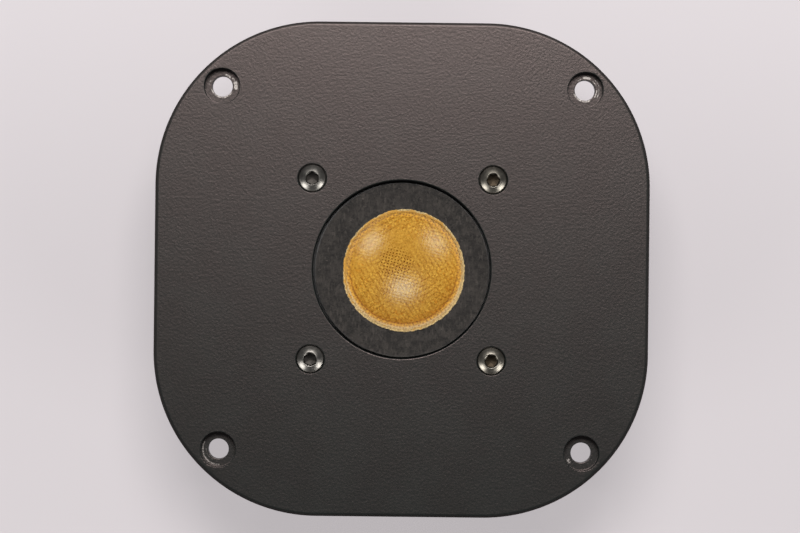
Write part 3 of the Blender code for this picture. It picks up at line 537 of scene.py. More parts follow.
def coated_cloth(s):
    """Golden cloth under a clear damping coat: threads over and under, gaps where the coat is thin.

    The coat is smooth towards +Y and thin round a place near the middle. The cloth carries painted
    light and shade: lit and shaded copies at the crossings, painted shade over the -Y half and, with
    pooled coat, along the -Y rim, and painted light at the +Y rim.
    """
    shader = Shader("coated_cloth", specular_ior_level=0.31, specular_tint=(0.85, 1.0, 0.88, 1.0))
    cloth, rim = s.cloth, s.rim
    x, y, z = shader.axes()
    radius = span(x, y)
    uneven = shader.noise(2.2 * MM, 3.0, 0.7)
    smooth = (y + (uneven - 0.5) * (6 * MM)).between(1.5 * MM, 3.8 * MM)
    smooth = smooth * radius.between(9.4 * MM, 7.4 * MM)
    smooth = smooth.larger((-x).between(4 * MM, 6 * MM) * (-y).between(2 * MM, 0) * 0.6)
    from_middle = span(x + 1.3 * MM, y - 1.3 * MM)
    open_weave = (from_middle + (uneven - 0.5) * (2.4 * MM)).between(4.2 * MM, 2.4 * MM)
    gaps, crossing = woven_maps(shader, s)
    shown = (1 - smooth * 0.7) * (0.5 + uneven.between(0.35, 0.65) * 0.5)
    thread = shader.noise(0.42 * MM, 2.0, 0.7)
    # Painted light and shade: under and over are shaded and lit copies of the cloth, mixed by the crossings;
    # over is also whiter, as a painted highlight.
    under = toned(cloth, 0.53, 0.4, 0.3)
    over = toned(cloth, 1.28, 1.54, 3.6)
    body = shader.mix((crossing * shown + 1) * 0.5, under, over)
    grit = shader.noise(0.2 * MM).between(0.35, 0.65) - 0.5
    body = shader.mix(grit * shown * 0.75, body, under)
    body = shader.mix(grit * shown * -0.5, body, over)
    body = shader.mix(thread.between(0.4, 0.7) * 0.7 * shown, body, toned(cloth, 0.55))
    lint = thread.between(0.48, 0.28) * (0.15 + shown * 0.45)
    body = shader.mix(lint, body, toned(cloth, 1.35, 1.55, 2.8))
    stain = shader.noise(0.7 * MM).between(0.56, 0.68) * radius.between(6.5 * MM, 8.5 * MM)
    body = shader.mix(stain * 0.5, body, toned(cloth, 0.95, 0.72, 0.5))
    cloud = shader.noise(1.3 * MM, 2.0, 0.5) - 0.5
    body = shader.mix(cloud.between(0, 0.2) * 0.22, body, over)
    body = shader.mix(cloud.between(0, -0.2) * 0.3, body, under)
    # Painted shade: the -Y half of the cloth is darkened.
    painted_low_side = (-y).between(0, 7 * MM)
    body = shader.mix(painted_low_side * 0.5, body, (0.78, 0.76, 0.76), "MULTIPLY")
    # Painted shade with pooled coat: a band inside the rim, towards -Y, is darkened.
    pool_and_shade = (radius + (uneven - 0.5) * (1.4 * MM)).between(rim - 1.7 * MM, rim - 0.6 * MM)
    pool_and_shade = pool_and_shade * (-y).between(-3 * MM, 4 * MM)
    body = shader.mix(pool_and_shade * 0.5, body, (0.76, 0.6, 0.52), "MULTIPLY")
    # Painted light: the cloth towards the +Y rim is brightened.
    body = shader.mix(y.between(6 * MM, 9 * MM), body, (1.06, 1.06, 1.1), "MULTIPLY")
    gap_share = gaps * (0.08 + open_weave * 0.9 + shown * 0.27).smaller(1)
    shader.set("Base Color", shader.mix(gap_share, body, s.gap))
    shader.set("Roughness", 0.35 - smooth * 0.06 - gap_share * 0.12 + (uneven - 0.5) * 0.12)
    shader.bump(thread, 0.04 * MM, 0.8)
    return shader.material


def pale_side(x, y):
    """1 towards -Y and +X, where the surround's cloth is paler, and 0 towards +Y and -X. The
    paleness is partly bare cloth and partly painted light on the -Y side, which faces the top lamp.
    """
    return (x * 0.4 - y).between(-8 * MM, 3 * MM)


def creamy_roll(s, felt):
    """The surround's cloth: golden and dotted like the dome inside, bare and pale next to the felt.

    It carries painted light, paler on the -Y slope inside the crest and brighter towards +Y, and
    painted shade in the fold at the dome's rim.
    """
    shader = Shader("creamy_roll", roughness=0.6)
    cloth, roll, crest = s.cloth, s.roll, (s.rim + s.roll_end) / 2
    x, y, z = shader.axes()
    uneven = shader.noise(0.9 * MM)
    to_felt = felt.hole - span(x - felt.shift_x, y + felt.shift_y) + (uneven - 0.5) * (0.3 * MM)
    x = x - s.play
    radius = span(x, y)
    pale = to_felt.between(1.0 * MM, 0.5 * MM) * pale_side(x, y)
    # Painted light: on the -Y side, the slope inside the crest is painted paler, as light.
    painted_low_side = (-y).between(2 * MM, 9 * MM)
    pale = pale.larger(painted_low_side * radius.between(crest - 0.75 * MM, crest - 0.1 * MM) * 0.62)
    gaps, crossing = woven_maps(shader, s)
    gaps = gaps * (0.6 + to_felt.between(0.3 * MM, 0.6 * MM) * 0.4)
    patch = shader.noise(1.8 * MM, 3.0, 0.6)
    # Painted light and shade: the crossings mix a shaded and a lit copy of the cloth.
    body = shader.mix((crossing + 1) * 0.5, toned(cloth, 0.55), toned(cloth, 1.15))
    cream = shader.mix(patch.between(0.3, 0.7), toned(roll, 0.88), toned(roll, 1.1))
    # Painted light: the cloth is brightened towards +Y.
    body = shader.mix(y.between(1 * MM, 5 * MM), body, (1.18, 1.18, 1.1), "MULTIPLY")
    body = shader.mix(pale, body, cream)
    # Painted shade, with pooled coat: the fold at the dome's rim is darkened, more towards -Y.
    crease_shade = abs(radius - s.rim + 0.25 * MM).between(0.35 * MM, 0.1 * MM)
    crease_shade = crease_shade * (-y).between(-3 * MM, 5 * MM)
    body = shader.mix(crease_shade * 0.85, body, (0.62, 0.44, 0.3), "MULTIPLY")
    shader.set("Base Color", shader.mix(gaps * 0.7, body, toned(s.gap, 1.5)))
    shader.bump(patch, 0.02 * MM, 0.5)
    return shader.material


def raw_cloth(s):
    """Raw edge of the cloth: pale cut threads at the felt, the golden coat soaked in further down."""
    shader = Shader("raw_cloth", roughness=0.75)
    x, y, z = shader.axes()
    thread = shader.noise(0.35 * MM)
    wet = shader.noise(1.5 * MM, 3.0, 0.65) + shader.attribute("across") * 0.3
    wet = wet + (-x).between(6 * MM, 12 * MM) * 0.1 - pale_side(x, y) * 0.2
    body = shader.mix(thread.between(0.35, 0.65), toned(s.roll, 0.66), toned(s.roll, 1.3))
    shader.set("Base Color", shader.mix(wet.between(0.52, 0.72) * 0.85, body, toned(s.cloth, 1.05)))
    shader.bump(thread, 0.03 * MM, 0.8)
    return shader.material


def plated_screw(name, metal, warmth):
    """Dull plated steel with fine tool marks, a darker film in places and painted shade in the socket,
    and painted light on the rim of the head, more towards -Y.

    Warmth is 0 for a grey head and 1 for one that has yellowed.
    """
    shader = Shader(name, metallic=1.0)
    film = shader.noise(0.9 * MM, 3.0, 0.6)
    marks = shader.noise(0.08 * MM)
    inside = shader.attribute("inside")
    warm = toned(metal, 1, 1 - 0.03 * warmth, 1 - 0.1 * warmth)
    rim = shader.attribute("rim")
    shine = shader.mix(film.between(0.35, 0.7), toned(warm, 0.75), warm)
    # Painted light: the head's rim is made paler, more towards -Y.
    shine = shader.mix(rim, shine, toned(warm, 1.1))
    # Painted shade: the socket is coloured near black.
    socket_shade = (0.026, 0.024 - 0.004 * warmth, 0.022 - 0.008 * warmth)
    shader.set("Base Color", shader.mix(inside, shine, socket_shade))
    shader.set("Roughness", 0.3 + film * 0.1 + (marks - 0.5) * 0.08 + inside * 0.14 + rim * 0.06)
    shader.bump(marks, 0.004 * MM, 0.6)
    return shader.material


def zinc_plate(name, metal, line_strength):
    """Zinc or tin plating with turning lines round the axis, a cloudy bloom and small stains."""
    shader = Shader(name, metallic=1.0)
    x, y, z = shader.axes()
    radius = span(x, y)
    ring = shader.add("ShaderNodeCombineXYZ", None, {0: radius, 1: z})
    lines = shader.noise(0.12 * MM, 3.0, 0.6, point=ring)
    bloom = shader.noise(6 * MM, 4.0, 0.6)
    stain = shader.noise(1.4 * MM, 3.0, 0.6).between(0.66, 0.8)
    body = shader.mix(bloom.between(0.3, 0.75), toned(metal, 0.7), metal)
    shader.set("Base Color", shader.mix(stain * 0.5, body, toned(metal, 0.4)))
    shader.set("Roughness", 0.3 + bloom * 0.2 + (lines - 0.5) * 0.16)
    shader.bump(lines, 0.008 * MM, line_strength)
    return shader.material


def sintered(colour):
    """Ground ferrite: fine grey-black grain, brighter in places, and small pits."""
    shader = Shader("sintered_ferrite")
    grain = shader.noise(0.25 * MM, 4.0, 0.7)
    pits = shader.noise(0.8 * MM).between(0.68, 0.76)
    cloud = shader.noise(7 * MM, 3.0, 0.5)
    body = shader.mix(cloud.between(0.3, 0.7), toned(colour, 0.8), toned(colour, 1.3))
    body = shader.mix(grain.between(0.4, 0.75) * 0.4, body, toned(colour, 2.2))
    shader.set("Base Color", shader.mix(pits, body, toned(colour, 0.4)))
    shader.set("Roughness", 0.55 + grain * 0.2)
    shader.bump(grain - pits * 0.8, 0.05 * MM, 0.8)
    return shader.material


def drawn_wire(name, metal, pitch):
    """Bright wire wound or braided on a fine pitch along Z."""
    shader = Shader(name, metallic=1.0)
    x, y, z = shader.axes()
    turns = abs((z * (math.pi / pitch)).cosine())
    shader.set("Base Color", shader.mix(turns, toned(metal, 0.45), metal))
    shader.set("Roughness", 0.4 - turns * 0.1)
    shader.bump(turns, 0.05 * MM, 0.8)
    return shader.material


def phenolic(colour):
    """Pressed-paper board: long fibres of two tones and a slight gloss."""
    shader = Shader("phenolic")
    fibre = shader.noise(0.25 * MM, 4.0, 0.7, stretch=(0.25, 1.0, 1.0))
    cloud = shader.noise(3 * MM, 2.0, 0.5)
    body = shader.mix(fibre.between(0.3, 0.7), toned(colour, 0.7), toned(colour, 1.4))
    shader.set("Base Color", shader.mix(cloud.between(0.4, 0.8) * 0.3, body, toned(colour, 0.5)))
    shader.set("Roughness", 0.45 + fibre * 0.15)
    shader.bump(fibre, 0.01 * MM, 0.6)
    return shader.material


def moulded(name, colour, rough):
    """Moulded plastic with a fine spark grain."""
    shader = Shader(name)
    grain = shader.noise(0.12 * MM)
    cloud = shader.noise(2 * MM, 2.0, 0.5)
    shader.set("Base Color", shader.mix(cloud, toned(colour, 0.8), toned(colour, 1.25)))
    shader.set("Roughness", rough + (grain - 0.5) * 0.2)
    shader.bump(grain, 0.01 * MM, 0.6)
    return shader.material


def paper(colour, glow_share, lift):
    """Matt paper, painted a little paler towards +Y as light from the top lamp. A share of it shows
    its own colour under the shadows.
    """
    shader = Shader("floor_paper", roughness=0.9)
    x, y, z = shader.axes()
    # Painted light: paler towards +Y.
    shade = shader.mix(y.between(-20 * MM, 90 * MM), colour, toned(colour, lift))
    shader.set("Base Color", shade)
    kinds = ("Camera", "Glossy", "Transmission")
    rays = [shader.add("ShaderNodeLightPath", output=f"Is {kind} Ray") for kind in kinds]
    share = rays[0].larger(rays[1]).larger(rays[2]) * glow_share
    glow = shader.add("ShaderNodeEmission", None, {"Color": shade, "Strength": 1.0})
    lit = Value(shader, shader.bsdf.outputs[0])
    mixed = shader.add("ShaderNodeMixShader", None, {0: share, 1: lit, 2: glow})
    shader.feed(shader.tree.nodes["Material Output"].inputs["Surface"], mixed)
    return shader.material


# ---------------------------------------------------------------- faceplate
def outline(angle, width, corner, inset):
    """Points of a square with round corners, met by rays at the angles, moved inwards by the inset.

    A ray meets a flat side at half width / cos, or the corner's circle at the larger root of its
    quadratic. The inset follows the outline's own normal.
    """
    half, core = width / 2, width / 2 - corner
    c, s = np.abs(np.cos(angle)), np.abs(np.sin(angle))
    reach_flat = half / np.maximum(c, s)
    on_flat = reach_flat * np.minimum(c, s) <= core
    reach_arc = core * (c + s) + np.sqrt(np.maximum(corner**2 - core**2 * (1 - 2 * c * s), 0))
    reach = np.where(on_flat, reach_flat, reach_arc)
    x, y = reach * c, reach * s
    nx = np.where(on_flat, c >= s, (x - core) / corner)
    ny = np.where(on_flat, c < s, (y - core) / corner)
    return (x - inset * nx) * np.sign(np.cos(angle)), (y - inset * ny) * np.sign(np.sin(angle))


def plate_grid(s, steps=360):
    """Grid of the flange: an outer section of insets from the outline, an inner section of circles.

    Both sections start and end with a corner in the flat faces, which only gives a direction.
    """
    rear, front = PLATE_LOW.z, PLATE_HIGH.z
    gap, recess_depth, rear_edge, sharp_edge = 0.2 * MM, 1.3 * MM, 0.25 * MM, 0.1 * MM
    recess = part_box("suspension_ring")[1].x + gap
    recess_top = rear + recess_depth
    within, beyond = 0.9 * s.corner, recess + 9 * MM
    outer = [(within, front, 0), (0, front, s.edge), (0, rear, rear_edge), (within, rear, 0)]
    inner = [
        (beyond, rear, 0),
        (recess, rear, sharp_edge),
        (recess, recess_top, sharp_edge),
        (s.opening, recess_top, sharp_edge),
        (s.opening, front, s.opening_lip),
        (beyond, front, 0),
    ]
    outer, inner = (filleted(line)[ARC_STEPS:-ARC_STEPS] for line in (outer, inner))
    angle = around(steps) + TAU / steps / 2
    rows = [(*outline(angle, s.width, s.corner, inset), z + 0 * angle) for inset, z in outer]
    edge = np.stack([np.stack(row, -1) for row in rows])
    return np.concatenate([edge, spun(*np.hsplit(inner, 2), angle)])


def counterbore_grid(x, y, hole, seat, depth, lip, steps=96):
    """Grid of what a counterbored hole takes away; its mouth flares just over the front face."""
    rear, front = PLATE_LOW.z, PLATE_HIGH.z
    past, chamfer, edge = 1 * MM, 0.2 * MM, 0.08 * MM
    seat_z, soft = front - depth, edge * 0.3
    section = [
        (0, rear - past),
        (hole + chamfer, rear - past),
        (hole + chamfer, rear),
        (hole, rear + chamfer),
        (hole, seat_z - edge),
        (hole + soft, seat_z - soft),
    ]
    section += [(r, seat_z) for r in np.linspace(hole + edge, seat - edge, 20)]
    section += [(seat - soft, seat_z + soft), (seat, seat_z + edge)]
    flare = np.linspace(math.pi, math.pi / 2 + 0.1, 6)
    lip_z = front + lip * 0.04 - lip
    section += [(seat + lip + lip * math.cos(a), lip_z + lip * math.sin(a)) for a in flare]
    section += [(section[-1][0], front + past), (0, front + past)]
    return turned(section, steps, (x, y))


def diagonal_places(radius):
    """Four centres on the diagonals, anticlockwise from +X +Y."""
    reach = radius / math.sqrt(2)
    return [(reach, reach), (-reach, reach), (-reach, -reach), (reach, -reach)]


# Arcs of bare metal on the mounting seats, in the order of diagonal_places: start and end in
# degrees, inner and outer radius in millimetres, strength.
SEAT_ARCS = [
    [(64, 102, 2.45, 2.95, 0.9), (104, 134, 2.35, 2.65, 0.6), (16, 52, 2.45, 2.65, 0.7),
     (14, 50, 2.95, 3.15, 0.6), (-40, 4, 2.35, 2.6, 0.75), (-34, 8, 2.85, 3.05, 0.7),
     (190, 300, 2.2, 2.5, 0.72)],
    [(-14, 22, 2.45, 3.2, 0.85), (16, 46, 2.6, 2.95, 0.65), (46, 78, 2.35, 2.75, 0.75),
     (150, 176, 2.5, 2.9, 0.55), (190, 330, 2.2, 2.45, 0.7), (215, 235, 2.8, 3.1, 0.35)],
    [(150, 276, 3.15, 3.42, 0.72), (165, 270, 2.45, 2.62, 0.5)],
    [(203, 226, 2.75, 3.35, 0.7), (262, 340, 2.6, 2.8, 0.4), (255, 290, 3.3, 3.5, 0.4)],
]


def edge_shade_share(points, width, corner, band):
    """1 at the outline and 0 inside the band that is painted dark as shade, by distance from a square
    with round corners.
    """
    beyond = np.abs(points[:, :2]) - (width / 2 - corner)
    reach = np.hypot(*np.maximum(beyond, 0).T) + np.minimum(beyond.max(1), 0)
    return np.clip((reach - corner) / band + 1.4, 0, 1)


def seat_arc_share(points, places, seat_z):
    """Bare metal from 0 to 1 on the seats: each arc's strength, less towards its sides and its ends."""
    near, end_fade, side_fade = 0.12 * MM, math.radians(8), 0.1 * MM
    seat_arcs = np.zeros(len(points))
    on_seat = np.exp(-(((points[:, 2] - seat_z) / near) ** 2))
    for (x, y), arcs in zip(places, SEAT_ARCS):
        dx, dy = points[:, 0] - x, points[:, 1] - y
        radius = np.hypot(dx, dy)
        for start, end, inner, outer, strength in arcs:
            middle, half = math.radians((start + end) / 2), math.radians((end - start) / 2)
            off = np.abs((np.arctan2(dy, dx) - middle + math.pi) % TAU - math.pi)
            along = np.clip((half - off) / end_fade + 0.5, 0, 1)
            from_side = np.minimum(radius - inner * MM, outer * MM - radius)
            across = np.clip(from_side / side_fade + 0.8, 0, 1)
            seat_arcs = np.maximum(seat_arcs, strength * across * along * on_seat)
    return seat_arcs


def boolean_cut(name, base, cutter, sharp=38):
    """Mesh of the base with the cutter's shapes taken out of it, its faces' normals kept flat."""
    holder, tool = (bpy.data.objects.new(mesh.name, mesh) for mesh in (base, cutter))
    for part in (holder, tool):
        bpy.context.scene.collection.objects.link(part)
        part.data.shade_smooth()
        part.data.set_sharp_from_angle(angle=math.radians(sharp))
    cut = holder.modifiers.new("cut", "BOOLEAN")
    cut.operation, cut.solver, cut.object = "DIFFERENCE", "EXACT", tool
    normals = holder.modifiers.new("normals", "WEIGHTED_NORMAL")
    normals.weight, normals.keep_sharp = 100, True
    graph = bpy.context.evaluated_depsgraph_get()
    mesh = bpy.data.meshes.new_from_object(holder.evaluated_get(graph), depsgraph=graph)
    mesh.name = name
    for part in (holder, tool):
        bpy.data.objects.remove(part)
    return mesh


class TWEETER_OT_faceplate(bpy.types.Operator):
    """Build the flange: stepped opening, counterbored holes, lead grooves, worn coat"""

    bl_idname = "tweeter.faceplate"
    bl_label = "Faceplate"

    def execute(self, context):
        s = context.scene.tweeter_plate
        base = mesh_from_grids("faceplate_base", [plate_grid(s)], True)
        mounts = diagonal_places(s.mount_circle)
        bore = (s.mount_hole, s.mount_seat, s.mount_depth, s.lip)
        cutters = [counterbore_grid(x, y, *bore) for x, y in mounts]
        bore = (s.screw_hole, s.screw_seat, s.screw_depth, s.lip * 1.35)
        cutters += [counterbore_grid(*node_box(node)[2].xy, *bore) for node in FACE_SCREWS]
        cutters += [self.groove(f"coil_lead_{side}") for side in SIDES]
        tools = mesh_from_grids("faceplate_tools", cutters, False)
        mesh = boolean_cut("faceplate_finish", base, tools)
        points = points_of(mesh)
        write_share(mesh, "seat_arcs", seat_arc_share(points, mounts, PLATE_HIGH.z - s.mount_depth))
        write_share(mesh, "edge", edge_shade_share(points, s.width, s.corner, s.dull_shaded_edge))
        place_piece(mesh, powder_coat(s.coat, s.bare), "root", ["faceplate"])
        return {"FINISHED"}

    def groove(self, lead, wide=0.5 * MM, deep=0.7 * MM, start=-20 * MM, bend=-30 * MM):
        """Grid of the groove that a lead lies in, along the plate's rear face."""
        low, high, middle = node_box(lead)
        section = [(-wide, -deep), (wide, -deep), (wide, deep), (-wide, deep)]
        path = [(middle.x, y, PLATE_LOW.z) for y in (start, bend, low.y)]
        return capped(carried(section, path, (0, 0, 1)))


# ---------------------------------------------------------------- felt, dome and surround
# The felt's hole isn't quite round: cosine and sine part, in millimetres, of each order of lobes.
CUT_LOBES = {
    2: (-0.025, 0.041),
    3: (-0.041, -0.052),
    5: (0.017, -0.016),
    6: (-0.038, -0.021),
    7: (0.017, 0.002),
    8: (-0.002, 0.021),
}


class TWEETER_OT_felt(bpy.types.Operator):
    """Build the felt ring: a punched outer edge, a hole cut by hand off centre and a fibrous face"""

    bl_idname = "tweeter.felt"
    bl_label = "Felt ring"

    def execute(self, context):
        s = context.scene.tweeter_felt
        wool = felt_wool(s.wool)
        angle = around(720)
        ray = np.stack([np.cos(angle), np.sin(angle)], -1)
        hole = s.hole + ripple(angle, 4, 110, s.raggedness, 9)
        for order, (cosine, sine) in CUT_LOBES.items():
            hole += cosine * MM * np.cos(order * angle) + sine * MM * np.sin(order * angle)
        rim = (FELT_HIGH.x - FELT_LOW.x) / 2 + ripple(angle, 9, 24, s.raggedness * 0.4)
        inside = hole[:, None] * ray + (s.shift_x, -s.shift_y)
        outside = rim[:, None] * ray + s.play * np.array([1, -1]) / math.sqrt(2)
        grid = self.ring(inside, outside, s.hole)
        node_piece("felt_ring", grid, wool, "root", closed=True, sharp=75)
        self.hem(inside, ray, FELT_LOW.z, context.scene.tweeter_dome)
        low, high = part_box("pole_damping_felt")
        edge = 0.5 * MM
        plug = filleted([(0, low.z, 0), (high.x, low.z, edge), (high.x, high.z, edge), (0, high.z, 0)])
        node_piece("pole_damping_felt", turned(plug, 64), wool, "root")
        return {"FINISHED"}

    def ring(self, inside, outside, hole):
        """Grid of the felt: a shaggy face rounded off as a circle at both edges, and two walls."""
        low, high, outer = FELT_LOW.z, FELT_HIGH.z, (FELT_HIGH.x - FELT_LOW.x) / 2
        round_off, shag_size, shag_reach, headroom = np.array([0.28, 0.011, 0.03, 0.035]) * MM
        share = np.linspace(0, 1, 34)[:, None]
        top = inside[None] + share[..., None] * (outside - inside)[None]
        draw = np.random.default_rng(21)
        shag = draw.normal(0, 1, top.shape[:2])
        shag = shag + np.roll(shag, 1, 1) + np.roll(shag, -1, 1) + np.roll(shag, 1, 0)
        from_edge = np.minimum(share, 1 - share) * (outer - hole)
        sink = round_off * (1 - np.sqrt(1 - np.clip(1 - from_edge / round_off, 0, 1) ** 2))
        height = high - headroom - sink + np.clip(shag * shag_size, -shag_reach, shag_reach)
        levels = np.linspace(high - round_off - 0.04 * MM, low, 9)[:, None, None]
        fray = draw.normal(0, 0.018 * MM, (len(levels), len(inside), 1))
        wall_out = np.concatenate([outside[None] * (1 + fray / outer * 0.5), levels + 0 * fray], -1)
        wall_in = np.concatenate([inside[None] * (1 + fray / hole), levels + 0 * fray], -1)
        return np.concatenate([np.concatenate([top, height[..., None]], -1), wall_out, wall_in[::-1]])

    def hem(self, hole, ray, low, cloth):
        """The raw edge of the surround's cloth, turned up along the hole: its line moved inwards."""
        draw = np.random.default_rng(33)
        inwards = np.array([0.03, 0.03, 0.1, 0.22, 0.36, 0.5, 0.58, 0.5, 0.2])[:, None] * MM
        rise = np.array([0.1, 1.0, 1.06, 0.97, 0.72, 0.38, 0.14, 0.05, 0.05])[:, None, None] * MM
        frayed = ripple(around(len(ray)), 12, 160, 0.02 * MM, 20) + draw.normal(0, 0.008 * MM, len(ray))
        wide = inwards + frayed * (inwards > 0.05 * MM)
        place = hole[None] - wide[..., None] * ray[None]
        grid = np.concatenate([place, np.broadcast_to(low + rise, (*wide.shape, 1))], -1)
        mesh = mesh_from_grids("felt_hem", [grid], True)
        across = np.broadcast_to(inwards / inwards.max(), wide.shape)
        write_share(mesh, "across", across.reshape(-1))
        finish_piece(mesh, raw_cloth(cloth), "root", [])


class TWEETER_OT_dome(bpy.types.Operator):
    """Build the concave dome from its woven cloth, thread by thread"""

    bl_idname = "tweeter.dome"
    bl_label = "Dome"

    def execute(self, context):
        s = context.scene.tweeter_dome
        steps, plain, middle_relief = 600, 0.3 * MM, 0.6
        angle = around(steps)[None]
        rim_angle = math.asin(s.rim / s.ball)
        centre_z = ball_centre(s)
        tilt = np.linspace(0, rim_angle, 111)[:, None]
        flat_r = s.ball * np.sin(tilt)
        relief = weave_height(flat_r * np.cos(angle), flat_r * np.sin(angle), s.pitch, s.lay)
        fade = np.clip((s.rim - plain - flat_r) / plain, 0, 1)
        ball = s.ball + s.relief * (middle_relief - relief) * fade
        x, y = s.play + ball * np.sin(tilt) * np.cos(angle), ball * np.sin(tilt) * np.sin(angle)
        front = np.stack([x, y, centre_z - ball * np.cos(tilt)], -1)
        back_tilt = np.linspace(rim_angle, 0, 14)
        back_ball = s.ball + s.skin
        back = np.stack([back_ball * np.sin(back_tilt), centre_z - back_ball * np.cos(back_tilt)], -1)
        grid = np.concatenate([front, turned(back, steps, (s.play, 0))])
        node_piece("dome", grid, coated_cloth(s), "moving", sharp=50)
        return {"FINISHED"}


def ball_centre(dome):
    """Height of the centre of the dome's ball, from the rim's height and radius."""
    return DOME_HIGH.z + math.sqrt(dome.ball**2 - dome.rim**2)


def ball_height(dome, ball, radius):
    """Height of a ball round the dome's own centre: the centre's height - sqrt(ball^2 - radius^2)."""
    return ball_centre(dome) - np.sqrt(ball**2 - radius**2)


def ball_rows(dome, ball, radii):
    """Section points on a ball round the dome's own centre."""
    return np.stack([radii, ball_height(dome, ball, radii)], -1)


class TWEETER_OT_surround(bpy.types.Operator):
    """Build the half-roll surround: it wraps the dome's rim, rises in a roll and ends in a flat flange"""

    bl_idname = "tweeter.surround"
    bl_label = "Surround"

    def execute(self, context):
        s = context.scene.tweeter_dome
        front, back = self.sections(s)
        grids, held, eased = [], ROLL_HIGH.x - 0.6 * MM, 1.2 * MM
        for section in (front, back):
            grid = turned(section, 480)
            grid[..., 0] += s.play * np.clip((held - section[:, :1]) / eased, 0, 1)
            grids.append(grid)
        relief = weave_height(grids[0][..., 0], grids[0][..., 1], s.pitch, s.lay)
        radius = front[:, :1]
        bare = np.clip((radius - s.rim) / (0.3 * MM), 0, 1)
        bare = bare * np.clip((s.roll_end - radius) / (0.5 * MM), 0, 1)
        grids[0][..., 2] -= s.relief * (1 - relief) * bare
        mesh = mesh_from_grids("surround_finish", [np.concatenate(grids)], True)
        material = creamy_roll(s, context.scene.tweeter_felt)
        piece = finish_piece(mesh, material, None, ["surround"], 50)
        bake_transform(piece, "moving", "root", (s.rim, 0, DOME_HIGH.z), (s.roll_end, 0, DOME_HIGH.z))
        # The blend runs along a line, so it is set again here, smoothly and by distance from the axis.
        points = points_of(mesh)
        from_rim = np.hypot(points[:, 0] - s.play, points[:, 1]) - s.rim - s.skin
        share = np.clip(from_rim / (1.5 * MM), 0, 1)
        share = (share**2 * (3 - 2 * share)).astype(np.float32)
        mesh.attributes["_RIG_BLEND"].data.foreach_set("value", share)
        return {"FINISHED"}

    def sections(self, s):
        """Front line and the line back under it: coat on the dome's rim, roll like a sine, flange."""
        rim_z, outer, coat_in = DOME_HIGH.z, ROLL_HIGH.x, s.rim - 0.3 * MM
        coat = ball_rows(s, s.ball - 0.01 * MM, np.linspace(coat_in, s.rim, 6)[:-1])
        share = np.linspace(0, 1, 44)
        hump = rim_z + (ROLL_HIGH.z - rim_z) * np.sin(np.pi * share) + 0.01 * MM
        roll_r = s.rim + (s.roll_end - s.rim) * share
        roll = np.stack([roll_r, np.minimum(hump, ROLL_HIGH.z)], -1)
        front = np.concatenate([coat, roll, [(s.roll_end + 0.3 * MM, rim_z), (outer, rim_z)]])
        free = roll[14:]
        slope = unit_rows(np.gradient(free, axis=0))
        under = free + s.skin * np.stack([slope[:, 1], -slope[:, 0]], -1)
        lip_top = s.ball + s.skin + 0.05 * MM
        lip = np.linspace(s.rim - 0.5 * MM, lip_top * s.rim / s.ball, 6)
        lip_low = lip_top + s.skin
        back = np.concatenate(
            [
                [(outer, rim_z - s.skin), (s.roll_end + 0.25 * MM, rim_z - s.skin)],
                under[::-1],
                ball_rows(s, lip_low, lip * lip_low / lip_top)[::-1],
                ball_rows(s, lip_top, lip),
                [(s.rim + 0.205 * MM, rim_z - 0.16 * MM), (s.rim + 0.02 * MM, rim_z + 0.005 * MM)],
                ball_rows(s, s.ball - 0.003 * MM, np.linspace(coat_in, s.rim - 0.01 * MM, 5))[::-1],
            ]
        )
        return front, back


# ---------------------------------------------------------------- screws
def hexagon(angle, turned_by):
    """Radius of a hexagon whose corners lie at radius 1: cos 30 over the cosine off the nearest flat."""
    off = (angle - turned_by) % (math.pi / 3) - math.pi / 6
    return math.cos(math.pi / 6) / np.cos(off)


def button_screw_grid(s, x, y, seat_z, long, stop, steps=96):
    """Grid of a button-head screw: each row is a circle or, in the socket, a hexagon.

    A row holds a radius, a height over the seat and its share of the hexagon's shape.
    """
    corner = s.socket / math.sqrt(3)
    mouth = corner + 0.14 * MM
    crown_z = s.height - math.sqrt(s.ball**2 - mouth**2)
    last = math.asin((s.head - 0.06 * MM) / s.ball)
    first = math.asin(mouth / s.ball)
    skirt_z = s.ball * math.cos(last) + crown_z
    inner = last - 0.12
    outer = filleted(
        [
            (0, -long, 0),
            (s.shank, -long, 0.3 * MM),
            (s.shank, 0, 0.1 * MM),
            (s.head - 0.12 * MM, 0, 0.08 * MM),
            (s.head, skirt_z, 0.08 * MM),
            (s.ball * math.sin(inner), s.ball * math.cos(inner) + crown_z, 0),
        ]
    )[:-ARC_STEPS]
    sweep = np.linspace(last - 0.1, first + 0.04, 14)
    crown = np.stack([s.ball * np.sin(sweep), s.ball * np.cos(sweep) + crown_z], -1)
    mouth_z, floor_z = s.ball * math.cos(first) + crown_z, s.height - s.depth
    socket = [
        (mouth, mouth_z - 0.002 * MM, 0.0),
        (mouth - 0.045 * MM, mouth_z - 0.012 * MM, 0.0),
        (mouth - 0.09 * MM, mouth_z - 0.045 * MM, 0.0),
        (corner + 0.01 * MM, mouth_z - 0.12 * MM, 0.15),
        (corner, mouth_z - 0.3 * MM, 1.0),
        (corner, floor_z + 0.05 * MM, 1.0),
        (corner - 0.05 * MM, floor_z, 1.0),
        (corner * 0.5, floor_z - 0.12 * MM, 0.5),
        (0.0, floor_z - 0.3 * MM, 0.0),
    ]
    rows = np.concatenate([np.pad(np.concatenate([outer, crown]), ((0, 0), (0, 1))), socket])
    r, z, six = np.hsplit(rows, 3)
    angle = around(steps)
    r = r * (1 + six * (hexagon(angle, stop) - 1))
    return spun(r, seat_z + z, angle, (x, y))


